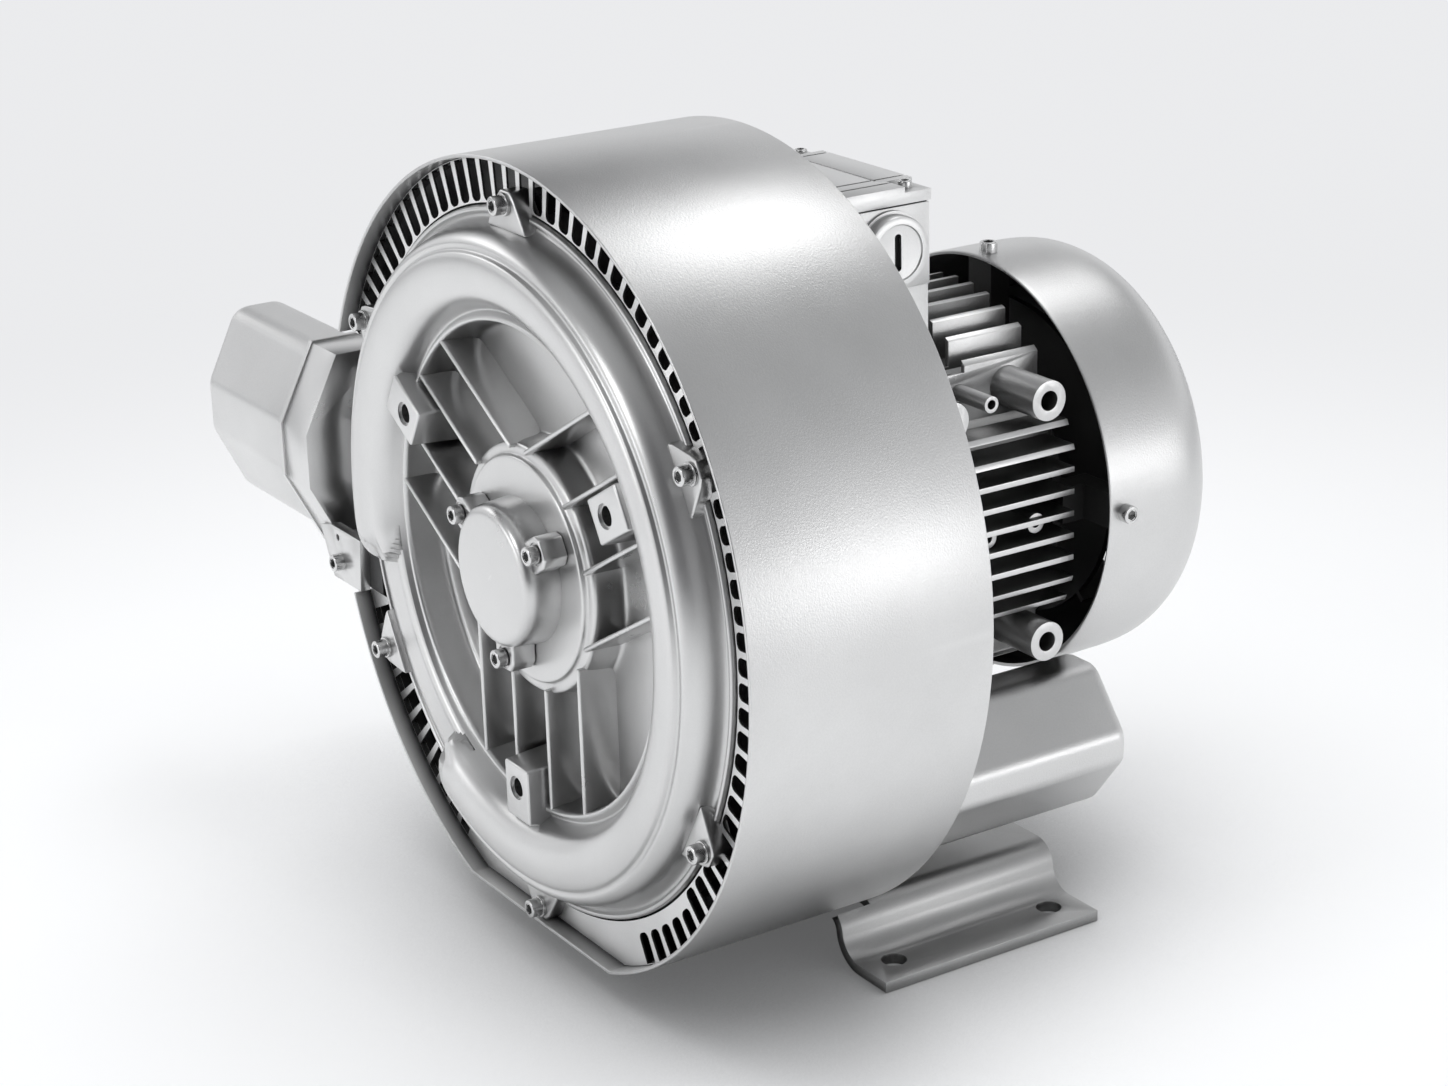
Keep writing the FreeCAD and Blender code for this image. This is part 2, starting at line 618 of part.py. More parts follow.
def centre_casing():
    piece = body("centre_casing")
    front = d.joint_front
    pocket = front + d.impeller_width + 1
    back = front + d.stage_pitch
    bore = d.impeller_radius + 0.6
    outline = [(d.casing_bore, pocket), (bore, pocket), (bore, front), (d.rim_radius, front),
               (d.rim_radius, back), (d.casing_bore, back)]
    turned(piece, "shell", [outline])
    casing_lugs(piece, d.ring_front + d.ring_plate, back, d.screw_radius)
    # duct to the side port
    reach = -d.rim_radius + 12
    duct = lens(d.duct_along, 0, d.duct_half_width + 5, d.duct_half_height + 5, 14, 20)
    add(piece, "YZ", "duct", [duct], d.port_neck, reach)
    ear = box(d.port_neck + 1, -d.rim_radius + 9, -d.ear_low, -d.duct_half_height)
    add(piece, "XZ", "ear", [ear], d.ear_face, d.joint_front + 6)
    hole = lens(d.duct_along, 0, d.duct_half_width, d.duct_half_height, 12, 18)
    cut(piece, "YZ", "passage", [hole], d.port_neck - 10, -d.rim_radius + 45)
    inside = [(0, front - 30), (d.rim_radius + d.seat_gap, front - 30), (d.rim_radius + d.seat_gap, front),
              (bore, front), (bore, pocket), (0, pocket)]
    grooved(piece, "clearing", [inside])
    side_channel(piece, "front_channel", pocket, 1, d.side_groove)
    side_channel(piece, "rear_channel", back, -1, d.side_groove)
    cut(piece, "XZ", "ear_tapping", [(d.ear_screw_x, d.ear_screw_z, d.screw_radius)], d.ear_face - 1,
        d.ear_face + 16)
    return piece


def rear_casing():
    piece = body("rear_casing")
    front = d.joint_front + d.stage_pitch
    pocket = front + d.impeller_width + 1
    back = d.flange_front
    bore = d.impeller_radius + 0.6
    outline = [(d.casing_bore, pocket), (bore, pocket), (bore, front), (d.rim_radius, front),
               (d.rim_radius, back - 10), (d.rim_radius - 10, back), (d.casing_bore, back)]
    turned(piece, "shell", [outline])
    casing_lugs(piece, front, front + d.casing_lug, d.screw_radius + d.hole_gap)
    # flats for the heads of the casing screws
    flat = cut(piece, "XZ", "spot_face", [(0, d.lug_circle, d.head_radius + 1)], front + d.casing_lug, back + 1)
    around(piece, "spot_faces", [flat], d.lug_count)
    side_channel(piece, "channel", pocket, 1, d.side_groove + 4)
    # duct to the rear port
    duct = lens(d.outlet_x, d.outlet_z, d.outlet_half_width - 6, d.outlet_half_height - 6, 12, 10)
    add(piece, "XZ", "duct", [duct], back - 6, d.outlet_neck)
    bosses = [(d.outlet_x + x * (d.outlet_half_width + d.outlet_ear / 2), d.outlet_z, 7) for x in (-1, 1)]
    add(piece, "XZ", "bosses", bosses, back - 12, d.outlet_neck)
    holes = [(boss[0], boss[1], d.screw_radius) for boss in bosses]
    cut(piece, "XZ", "boss_holes", holes, back - 4, d.outlet_neck)
    hole = lens(d.outlet_x, d.outlet_z, d.outlet_half_width - 12, d.outlet_half_height - 12, 10, 8)
    cut(piece, "XZ", "passage", [hole], pocket - 1, d.outlet_neck + 1)
    taps = []
    for angle in (45, 135, 225, 315):
        x, z = at_angle(1, angle)
        taps.append((d.flange_screw_circle * x, d.flange_screw_circle * z, d.big_screw_radius))
    for x in (-1, 1):
        taps.append((d.riser_half * 0.6 * x, d.riser_top - 16, d.big_screw_radius))
    cut(piece, "XZ", "taps", taps, back - 16, back)
    return piece


# motor

def motor_flange():
    piece = body("motor_flange")
    front = d.flange_front
    back = front + d.flange_plate
    seat = d.drive_bearing_at
    outline = [(d.drive_outer - 12, front), (d.flange_radius, front), (d.flange_radius, back),
               (d.frame_bore, back), (d.frame_bore, back + d.flange_spigot),
               (d.frame_bore - 8, back + d.flange_spigot), (d.frame_bore - 8, back),
               (d.drive_outer + 10, back), (d.drive_outer + 8, seat + d.drive_width + 1),
               (d.drive_outer, seat + d.drive_width + 1), (d.drive_outer, seat), (d.drive_outer - 12, seat)]
    turned(piece, "disc", [outline])
    holes = []
    for angle in (45, 135, 225, 315):
        x, z = at_angle(1, angle)
        holes.append((d.flange_screw_circle * x, d.flange_screw_circle * z, d.big_screw_radius + 0.5))
    cut(piece, "XZ", "holes", holes, front - 1, back + 1)
    return piece


def motor_frame():
    piece = body("motor_frame")
    half = d.frame_half
    corner = d.frame_corner
    front = d.flange_front + d.flange_plate
    shell = [(half, -corner), (half, corner), (corner, half), (-corner, half),
             (-half, corner), (-half, -corner), (-corner, -half), (corner, -half)]
    add(piece, "XZ", "shell", [shell], front, d.frame_rear)
    low = -d.fin_pitch * (d.side_fin_count - 1) / 2
    fin = box(half - 6, d.side_fin, low - d.fin_wall / 2, low + d.fin_wall / 2)
    side = add(piece, "XZ", "side_fin", [fin], d.fin_front, d.fin_rear)
    in_line(piece, "side_fins", [side], "Z", d.fin_pitch, d.side_fin_count)
    fin = box(-d.side_fin, -half + 6, low - d.fin_wall / 2, low + d.fin_wall / 2)
    side = add(piece, "XZ", "left_fin", [fin], d.fin_front, d.fin_rear)
    in_line(piece, "left_fins", [side], "Z", d.fin_pitch, d.side_fin_count)
    start = -d.top_fin_pitch * (d.top_fin_count - 1) / 2
    fin = box(start - d.fin_wall / 2, start + d.fin_wall / 2, half - 26, d.top_fin)
    top = add(piece, "XZ", "top_fin", [fin], d.fin_front, d.fin_rear)
    in_line(piece, "top_fins", [top], "X", d.top_fin_pitch, d.top_fin_count)
    fin = box(start - d.fin_wall / 2, start + d.fin_wall / 2, -d.side_fin, -half + 26)
    under = add(piece, "XZ", "under_fin", [fin], d.fin_front, d.fin_rear)
    in_line(piece, "under_fins", [under], "X", d.top_fin_pitch, d.top_fin_count)
    trim = [(d.fin_trim, d.fin_front - 1), (d.fin_trim + 60, d.fin_front - 1),
            (d.fin_trim + 60, d.fin_rear + 1), (d.fin_trim, d.fin_rear + 1)]
    grooved(piece, "trim", [trim])
    relief_rear = d.boss_rear_y - 28
    relief = [box(d.fin_relief, d.top_fin, d.fin_front - 1, relief_rear),
              box(-d.top_fin, -d.fin_relief, d.fin_front - 1, relief_rear)]
    cut(piece, "XY", "fin_relief", relief, half, d.top_fin + 1)
    pedestal = box(-d.pedestal_half, d.pedestal_half, d.pedestal_front, d.pedestal_rear)
    add(piece, "XY", "pedestal", [pedestal], half - 4, d.box_floor)
    for side_name, low_x, high_x in (("right", half - 6, d.boss_face), ("left", -d.boss_face, 6 - half)):
        bosses = [(y, z, d.boss_radius) for y in (d.boss_front_y, d.boss_rear_y)
                  for z in (-d.boss_height, d.boss_height)]
        seat_low, seat_high = (low_x - 24, high_x) if side_name == "right" else (low_x, high_x + 24)
        add(piece, "YZ", side_name + "_boss", bosses, seat_low, seat_high)
        tap_low, tap_high = (high_x - 24, high_x) if side_name == "right" else (low_x, low_x + 24)
        holes = [(y, z, d.boss_hole) for y in (d.boss_front_y, d.boss_rear_y)
                 for z in (-d.boss_height, d.boss_height)]
        cut(piece, "YZ", side_name + "_tapping", holes, tap_low, tap_high)
    small = [(d.boss_front_y + 30, -4, d.small_boss_radius), (d.boss_rear_y - 2, -2, d.small_boss_radius),
             (d.boss_front_y + 32, d.boss_height + 2, d.small_boss_radius - 1)]
    add(piece, "YZ", "small_boss", small, half - 10, d.small_boss_face)
    small = [(p[0], p[1], d.small_boss_hole) for p in small]
    cut(piece, "YZ", "small_hole", small, d.small_boss_face - 12, d.small_boss_face)
    bore = [(0, front - 1), (d.frame_bore, front - 1), (d.frame_bore, d.frame_rear + 1), (0, d.frame_rear + 1)]
    grooved(piece, "bore", [bore])
    wires = box(-14, 14, d.pedestal_front + 12, d.pedestal_rear - 12)
    cut(piece, "XY", "wire_way", [wires], d.frame_bore - 8, d.box_floor + 1)
    return piece


def stator_core():
    piece = body("stator_core")
    ring = [(d.stator_bore, d.stator_front), (d.frame_bore, d.stator_front),
            (d.frame_bore, d.stator_rear), (d.stator_bore, d.stator_rear)]
    turned(piece, "ring", [ring])
    return piece


def windings():
    solids = []
    for low in (d.stator_front - d.winding_reach, d.stator_rear):
        place = Vector(0, low.number, 0)
        ring = Part.makeCylinder(d.winding_outer.number, d.winding_reach.number, place, Vector(0, 1, 0))
        hole = Part.makeCylinder(d.winding_inner.number, d.winding_reach.number, place, Vector(0, 1, 0))
        solids.append(ring.cut(hole))
    return group("stator_windings", solids)


def end_shield():
    piece = body("end_shield")
    front = d.frame_rear
    plate = front + d.shield_plate
    seat = d.rear_bearing_at + d.bearing_width
    outline = [(d.bearing_outer, d.rear_bearing_at - 1), (d.bearing_outer + 9, d.rear_bearing_at - 1),
               (d.bearing_outer + 9, front), (d.frame_bore - 8, front), (d.frame_bore - 8, front - 5),
               (d.frame_bore, front - 5), (d.frame_bore, front), (d.frame_half + 4, front),
               (d.frame_half + 4, plate), (d.bearing_outer + 9, plate), (d.bearing_outer + 7, seat + 6),
               (d.bearing_bore + 2, seat + 6), (d.bearing_bore + 2, seat), (d.bearing_outer, seat)]
    turned(piece, "disc", [outline])
    top = d.cowl_radius - d.cowl_wall
    arm = box(-d.cowl_lug_half, d.cowl_lug_half, d.frame_half - 2, d.frame_half + 12)
    leg = add(piece, "XZ", "arm", [arm], front, d.cowl_lug_rear)
    around(piece, "arms", [leg], 4)
    arm = box(-d.cowl_lug_half, d.cowl_lug_half, d.frame_half + 6, top - 1)
    tip = add(piece, "XZ", "tip", [arm], d.cowl_front + 4, d.cowl_lug_rear)
    around(piece, "tips", [tip], 4)
    cut(piece, "YZ", "side_taps", [(d.cowl_screw_at, 0, d.screw_radius)], -d.cowl_radius, d.cowl_radius)
    cut(piece, "XY", "top_taps", [(0, d.cowl_screw_at, d.screw_radius)], -d.cowl_radius, d.cowl_radius)
    return piece


def fan_cowl():
    piece = body("fan_cowl")
    rim = d.cowl_radius
    wall = d.cowl_wall
    rear = d.cowl_rear
    bend = d.cowl_bend
    outline = [(rim - wall, d.cowl_front), (rim, d.cowl_front), (rim, rear - bend),
               (rim - bend, rear, bend, "left"), (0, rear), (0, rear - wall), (rim - bend, rear - wall),
               (rim - wall, rear - bend, bend - wall, "right")]
    turned(piece, "shell", [outline])
    slot = box(-d.cowl_slot_width / 2, d.cowl_slot_width / 2, d.cowl_slot_inner, d.cowl_slot_outer)
    first = cut(piece, "XZ", "slot", [slot], rear - wall - 1, rear + 1)
    around(piece, "slots", [first], d.cowl_slot_count)
    hole = (d.cowl_screw_at, 0, d.screw_radius + 0.3)
    cut(piece, "YZ", "side_holes", [hole], -rim - 1, rim + 1)
    cut(piece, "XY", "top_holes", [(0, d.cowl_screw_at, d.screw_radius + 0.3)], -rim - 1, rim + 1)
    return piece


# terminal box

def terminal_base():
    piece = body("terminal_base")
    outer = box(-d.box_half, d.box_half, d.box_front, d.box_rear)
    add(piece, "XY", "block", [outer], d.box_floor, d.box_seam)
    wall = d.box_wall
    inner = box(-d.box_half + wall, d.box_half - wall, d.box_front + wall, d.box_rear - wall)
    cut(piece, "XY", "room", [inner], d.box_floor + wall, d.box_seam + 1)
    inset = d.lid_screw_inset
    posts = []
    taps = []
    for x in (-1, 1):
        for y in (d.box_front + inset, d.box_rear - inset):
            posts.append(((d.box_half - inset) * x, y, 6))
            taps.append(((d.box_half - inset) * x, y, 2))
    add(piece, "XY", "posts", posts, d.box_floor + 1, d.box_seam)
    cut(piece, "XY", "taps", taps, d.box_seam - 16, d.box_seam)
    wires = box(-14, 14, d.pedestal_front + 12, d.pedestal_rear - 12)
    cut(piece, "XY", "wire_way", [wires], d.box_floor - 1, d.box_floor + wall + 1)
    collar = (d.plug_along, d.plug_height, d.plug_radius + 1.5)
    add(piece, "YZ", "right_collar", [collar], d.box_half - 1, d.box_half + 2)
    add(piece, "YZ", "left_collar", [collar], -d.box_half - 2, -d.box_half + 1)
    entry = (d.plug_along, d.plug_height, d.entry_radius)
    cut(piece, "YZ", "entries", [entry], -d.box_half - 3, d.box_half + 3)
    return piece


def terminal_gasket():
    piece = body("terminal_gasket")
    rim = box(-d.box_half + 1, d.box_half - 1, d.box_front + 1, d.box_rear - 1)
    inset = d.lid_screw_inset + 8
    hole = box(-d.box_half + inset, d.box_half - inset, d.box_front + inset, d.box_rear - inset)
    add(piece, "XY", "sheet", [rim, hole], d.box_seam, d.box_seam + 1)
    inset = d.lid_screw_inset
    holes = [((d.box_half - inset) * x, y, 2.3) for x in (-1, 1)
             for y in (d.box_front + inset, d.box_rear - inset)]
    cut(piece, "XY", "holes", holes, d.box_seam - 1, d.box_seam + 2)
    return piece


def terminal_lid():
    piece = body("terminal_lid")
    low = d.box_seam + 1
    top = low + d.lid_height
    outer = box(-d.box_half - 0.8, d.box_half + 0.8, d.box_front - 0.8, d.box_rear + 0.8)
    add(piece, "XY", "plate", [outer], low, top)
    under = box(-d.box_half + 18, d.box_half - 18, d.box_front + 18, d.box_rear - 18)
    cut(piece, "XY", "hollow", [under], low - 1, low + 5)
    lines = [box(-d.box_half + 20, d.box_half - 20, y - 0.8, y + 0.8)
             for y in (d.box_front + 20, d.box_rear - 20)]
    cut(piece, "XY", "lines", lines, top - 1.2, top + 1)
    corners = []
    inset = d.lid_screw_inset + 7
    for x0, x1 in ((-d.box_half - 2, -d.box_half + inset), (d.box_half - inset, d.box_half + 2)):
        for y0, y1 in ((d.box_front - 2, d.box_front + inset), (d.box_rear - inset, d.box_rear + 2)):
            corners.append(box(x0, x1, y0, y1))
    cut(piece, "XY", "corners", corners, top - 3, top + 1)
    inset = d.lid_screw_inset
    holes = [((d.box_half - inset) * x, y, 2.3) for x in (-1, 1)
             for y in (d.box_front + inset, d.box_rear - inset)]
    cut(piece, "XY", "holes", holes, low - 1, top + 1)
    return piece


def terminal_block():
    piece = body("terminal_block")
    low = d.box_floor + d.box_wall
    add(piece, "XY", "base", [box(-26, 26, d.box_front + 7, d.box_front + 29)], low, low + 12)
    posts = [(x, d.box_front + y, 2.5) for x in (-16, 0, 16) for y in (13, 23)]
    add(piece, "XY", "posts", posts, low + 11, low + 22)
    return piece


def blanking_plug():
    piece = body("blanking_plug")
    seat = d.box_half + 2
    centre = (d.plug_along, d.plug_height)
    add(piece, "YZ", "head", [(*centre, d.plug_radius)], seat, seat + d.plug_reach)
    add(piece, "YZ", "thread", [(*centre, d.entry_radius)], seat - 9, seat + 1)
    slot = box(d.plug_along - 2, d.plug_along + 2, d.plug_height - 12, d.plug_height + 12)
    cut(piece, "YZ", "slot", [slot], seat + d.plug_reach - 3, seat + d.plug_reach)
    return piece


def cable_gland():
    piece = body("cable_gland")
    seat = -d.box_half - 2
    centre = (d.plug_along, d.plug_height)
    corners = [(d.plug_along + x, d.plug_height + z)
               for x, z in [at_angle(d.gland_radius.number, 60 * i) for i in range(6)]]
    add(piece, "YZ", "nut", [corners], seat - 10, seat)
    add(piece, "YZ", "dome", [(*centre, d.gland_radius - 3)], seat - d.gland_reach, seat - 9)
    add(piece, "YZ", "thread", [(*centre, d.entry_radius)], seat - 1, seat + 9)
    cut(piece, "YZ", "bore", [(*centre, d.gland_bore)], seat - d.gland_reach - 1, seat + 10)
    return piece


# silencers

def long_edges(axis, limit):
    def wanted(edge):
        direction = edge.tangentAt(edge.FirstParameter)
        return edge.Length > limit and abs(direction.dot(axis)) > 0.999
    return wanted


def inlet_silencer():
    piece = body("inlet_silencer")
    section = lens(d.port_along, 0, d.port_half_width, d.port_half_height, d.port_flat_half, d.port_side_half)
    base = add(piece, "YZ", "tube", [section], d.port_end, d.port_seam)
    rounded(piece, "corners", base, d.port_corner, long_edges(Vector(1, 0, 0), 60))
    flange = lens(d.port_along, 0, d.port_half_width + d.port_flange, d.port_half_height + d.port_flange,
                  d.port_flat_half + 1, d.port_side_half + 1)
    add(piece, "YZ", "flange", [flange], d.port_seam - 4, d.port_seam)
    wall = d.port_wall
    room = lens(d.port_along, 0, d.port_half_width - wall, d.port_half_height - wall,
                d.port_flat_half - 2, d.port_side_half - 2)
    cut(piece, "YZ", "room", [room], d.port_end + d.port_end_wall, d.port_seam + 1)
    cut(piece, "YZ", "bore", [(d.port_along, 0, d.port_bore)], d.port_end - 1, d.port_end + d.port_end_wall + 1)
    return piece


def inlet_foam():
    piece = body("inlet_foam")
    gap = d.port_wall + d.seat_gap
    section = lens(d.port_along, 0, d.port_half_width - gap, d.port_half_height - gap,
                   d.port_flat_half - 2.2, d.port_side_half - 2.2)
    low = d.port_end + d.port_end_wall + d.seat_gap
    add(piece, "YZ", "lining", [section], low, d.port_seam - 1)
    gap = gap + d.foam_wall
    inner = lens(d.port_along, 0, d.port_half_width - gap, d.port_half_height - gap,
                 d.port_flat_half - 6, d.port_side_half - 6)
    cut(piece, "YZ", "passage", [inner], low - 1, d.port_seam)
    return piece


def inlet_collar():
    piece = body("inlet_collar")
    flange = d.port_flange - 1
    section = lens(d.port_along, 0, d.port_half_width + flange, d.port_half_height + flange,
                   d.port_flat_half + 1, d.port_side_half + 1)
    add(piece, "YZ", "band", [section], d.port_seam, d.port_neck)
    front = d.ear_face - d.ear_plate
    top = -d.ear_low + d.ear_height
    plate = [(d.port_neck - 14, top - 4), (d.port_neck, -d.ear_low - 2), (-d.rim_radius - 8, -d.ear_low - 2),
             (-d.rim_radius - 5, top), (d.port_neck, top)]
    add(piece, "XZ", "ear", [plate], front, d.ear_face)
    hollow = lens(d.port_along, 0, d.port_half_width - 5, d.port_half_height - 5,
                  d.port_flat_half - 3, d.port_side_half - 3)
    cut(piece, "YZ", "hollow", [hollow], d.port_seam - 1, d.port_neck - 4)
    passage = lens(d.duct_along, 0, d.duct_half_width, d.duct_half_height, 12, 18)
    cut(piece, "YZ", "passage", [passage], d.port_neck - 6, d.port_neck + 1)
    holes = [(d.ear_screw_x, d.ear_screw_z, d.screw_radius + 0.3), (d.ear_screw_x - 3, d.ear_screw_z + 14, 2)]
    cut(piece, "XZ", "ear_holes", holes, front - 1, d.ear_face + 1)
    return piece


def outlet_silencer():
    piece = body("outlet_silencer")
    section = lens(d.outlet_x, d.outlet_z, d.outlet_half_width, d.outlet_half_height,
                   d.outlet_flat_half, d.outlet_side_half)
    base = add(piece, "XZ", "tube", [section], d.outlet_seam, d.outlet_end)
    rounded(piece, "corners", base, d.outlet_corner, long_edges(Vector(0, 1, 0), 60))
    wall = d.port_wall
    room = lens(d.outlet_x, d.outlet_z, d.outlet_half_width - wall, d.outlet_half_height - wall,
                d.outlet_flat_half - 2, d.outlet_side_half - 2)
    cut(piece, "XZ", "room", [room], d.outlet_seam - 1, d.outlet_end - d.port_end_wall)
    cut(piece, "XZ", "bore", [(d.outlet_x, d.outlet_z, d.outlet_bore)],
        d.outlet_end - d.port_end_wall - 1, d.outlet_end + 1)
    return piece


def outlet_foam():
    piece = body("outlet_foam")
    gap = d.port_wall + d.seat_gap
    section = lens(d.outlet_x, d.outlet_z, d.outlet_half_width - gap, d.outlet_half_height - gap,
                   d.outlet_flat_half - 2.2, d.outlet_side_half - 2.2)
    high = d.outlet_end - d.port_end_wall - d.seat_gap
    add(piece, "XZ", "lining", [section], d.outlet_seam + 1, high)
    gap = gap + d.foam_wall - 2
    inner = lens(d.outlet_x, d.outlet_z, d.outlet_half_width - gap, d.outlet_half_height - gap,
                 d.outlet_flat_half - 5, d.outlet_side_half - 5)
    cut(piece, "XZ", "passage", [inner], d.outlet_seam, high + 1)
    return piece


def outlet_collar():
    piece = body("outlet_collar")
    section = lens(d.outlet_x, d.outlet_z, d.outlet_half_width - 1, d.outlet_half_height - 1,
                   d.outlet_flat_half, d.outlet_side_half)
    add(piece, "XZ", "band", [section], d.outlet_neck, d.outlet_seam)
    reach = d.outlet_half_width + d.outlet_ear
    ears = box(d.outlet_x - reach, d.outlet_x + reach, d.outlet_z - 8, d.outlet_z + 8)
    add(piece, "XZ", "ears", [ears], d.outlet_neck, d.outlet_neck + 5)
    hollow = lens(d.outlet_x, d.outlet_z, d.outlet_half_width - 8, d.outlet_half_height - 8,
                  d.outlet_flat_half - 2, d.outlet_side_half - 2)
    cut(piece, "XZ", "hollow", [hollow], d.outlet_neck - 1, d.outlet_seam + 1)
    holes = [(d.outlet_x + x * (d.outlet_half_width + d.outlet_ear / 2), d.outlet_z, d.screw_radius + 0.3)
             for x in (-1, 1)]
    cut(piece, "XZ", "ear_holes", holes, d.outlet_neck - 1, d.outlet_neck + 6)
    return piece


# foot

def foot_bracket():
    piece = body("foot_bracket")
    floor = -d.shaft_height
    plate = d.foot_plate
    edge = d.foot_edge
    top = floor + d.foot_rise
    knee = d.foot_knee
    shoulder = knee - d.foot_run
    rise = d.foot_rise - plate
    bend = (d.foot_run * d.foot_run + rise * rise) / (4 * rise)
    mid_x = (knee + shoulder) / 2
    mid_z = floor + plate + rise / 2
    centre_z = floor + plate + bend
    under_x = knee + (mid_x - knee) * (bend + plate) / bend
    under_z = centre_z + (mid_z - centre_z) * (bend + plate) / bend
    outline = [(edge, floor), (edge, floor + plate), (knee, floor + plate), (mid_x, mid_z, bend, "right"),
               (shoulder, top, bend, "left"), (-shoulder, top), (-mid_x, mid_z, bend, "left"),
               (-knee, floor + plate, bend, "right"), (-edge, floor + plate), (-edge, floor),
               (-knee, floor), (-under_x, under_z, bend + plate, "left"),
               (-shoulder, top - plate, bend - plate, "right"), (shoulder, top - plate),
               (under_x, under_z, bend - plate, "right"), (knee, floor, bend + plate, "left")]
    low = d.foot_centre - d.foot_length / 2
    high = d.foot_centre + d.foot_length / 2
    base = add(piece, "XZ", "sheet", [outline], low, high)
    notch = box(-d.foot_notch, d.foot_notch, low - 1, d.bridge_front)
    cut(piece, "XY", "notch", [notch], top - plate - 1, top + 1)
    holes = [(d.foot_x * x, d.foot_centre + d.foot_pitch / 2 * y, d.foot_hole) for x in (-1, 1) for y in (-1, 1)]
    cut(piece, "XY", "foot_holes", holes, floor - 1, floor + plate + 1)
    screws = [(d.riser_half * 0.6 * x, y, d.big_screw_radius + 0.5) for x in (-1, 1)
              for y in (d.bridge_front + 14, d.riser_rear - 14)]
    cut(piece, "XY", "riser_holes", screws, top - plate - 1, top + 1)
    return piece


def foot_riser():
    piece = body("foot_riser")
    low = -d.shaft_height + d.foot_rise
    plate = d.riser_plate
    outline = [(d.riser_front, low), (d.riser_rear, low), (d.riser_rear, low + plate),
               (d.riser_front + plate, low + plate), (d.riser_front + plate, d.riser_top),
               (d.riser_front, d.riser_top)]
    add(piece, "YZ", "angle", [outline], -d.riser_half, d.riser_half)
    holes = [(d.riser_half * 0.6 * x, d.riser_top - 16, d.big_screw_radius + 0.5) for x in (-1, 1)]
    cut(piece, "XZ", "wall_holes", holes, d.riser_front - 1, d.riser_front + plate + 1)
    holes = [(d.riser_half * 0.6 * x, y, d.big_screw_radius) for x in (-1, 1)
             for y in (d.bridge_front + 14, d.riser_rear - 14)]
    cut(piece, "XY", "floor_holes", holes, low - 1, low + plate + 1)
    return piece


# rotor

def shaft():
    piece = body("shaft")
    front = -d.shaft_front
    seat = d.front_bearing_at + d.bearing_width
    bore = d.bearing_bore
    clip = d.front_bearing_at - d.clip_wall
    fan = d.rear_bearing_at + d.bearing_width + 2
    outline = [(0, front), (bore - 1, front), (bore, front + 1), (bore, clip), (bore - d.clip_groove, clip),
               (bore - d.clip_groove, d.front_bearing_at), (bore, d.front_bearing_at), (bore, seat),
               (d.impeller_seat, seat), (d.impeller_seat, d.drive_bearing_at - 2),
               (d.drive_bore, d.drive_bearing_at - 2), (d.drive_bore, d.drive_bearing_at + d.drive_width),
               (d.shaft_core, d.drive_bearing_at + d.drive_width), (d.shaft_core, d.stator_rear + 8),
               (d.drive_bore, d.stator_rear + 8), (d.drive_bore, d.rear_bearing_at),
               (bore, d.rear_bearing_at), (bore, fan), (d.fan_seat, fan), (d.fan_seat, d.shaft_rear - 1),
               (d.fan_seat - 1, d.shaft_rear), (0, d.shaft_rear)]
    turned(piece, "bar", [outline])
    key = d.joint_front + d.running_gap
    cut(piece, "XY", "keyway", [box(-3, 3, key, key + d.stage_pitch + d.impeller_width)],
        d.impeller_seat - 3.5, d.impeller_seat + 1)
    return piece


def impeller(name, front):
    piece = body(name)
    rear = front + d.impeller_width
    mid = front + d.impeller_width / 2
    web = d.impeller_web / 2
    core = d.vane_core / 2
    outline = [(d.impeller_seat, front), (d.impeller_hub, front), (d.impeller_hub, mid - web),
               (d.vane_inner - 8, mid - web), (d.vane_inner - 6, front), (d.vane_inner, front),
               (d.vane_inner + 6, mid - core), (d.impeller_radius, mid - core),
               (d.impeller_radius, mid + core), (d.vane_inner + 6, mid + core), (d.vane_inner, rear),
               (d.vane_inner - 6, rear), (d.vane_inner - 8, mid + web), (d.impeller_hub, mid + web),
               (d.impeller_hub, rear), (d.impeller_seat, rear)]
    turned(piece, "disc", [outline])
    vane = box(-d.vane_wall / 2, d.vane_wall / 2, d.vane_inner - 3, d.impeller_radius - 0.5)
    first = add(piece, "XZ", "vane", [vane], front, rear)
    around(piece, "vanes", [first], d.vane_count)
    keyway = box(-3, 3, d.impeller_seat - 4, d.impeller_seat + 3)
    cut(piece, "XZ", "keyway", [keyway], front - 1, rear + 1)
    return piece


def impeller_keys(fronts):
    solids = []
    for start in fronts:
        corner = Vector(-3, start.number, (d.impeller_seat - 3.5).number)
        solids.append(Part.makeBox(6, d.impeller_width.number, 6.5, corner))
    return group("impeller_keys", solids)


def sleeve(name, inner, outer, low, high):
    piece = body(name)
    turned(piece, "ring", [[(inner, low), (outer, low), (outer, high), (inner, high)]])
    return piece


def rotor_core():
    piece = body("rotor_core")
    turned(piece, "stack", [[(d.shaft_core, d.stator_front), (d.rotor_radius, d.stator_front),
                             (d.rotor_radius, d.stator_rear), (d.shaft_core, d.stator_rear)]])
    return piece


def cooling_fan():
    piece = body("cooling_fan")
    front = d.fan_front
    outline = [(d.fan_seat, front), (d.fan_radius - 6, front), (d.fan_radius - 6, front + d.fan_disc),
               (d.fan_hub, front + d.fan_disc), (d.fan_hub, d.fan_rear), (d.fan_seat, d.fan_rear)]
    turned(piece, "disc", [outline])
    blade = box(-d.blade_wall / 2, d.blade_wall / 2, d.fan_hub - 2, d.fan_radius)
    first = add(piece, "XZ", "blade", [blade], front, d.fan_rear)
    around(piece, "blades", [first], d.blade_count)
    return piece


# bearings: outer ring, inner ring, cage and balls

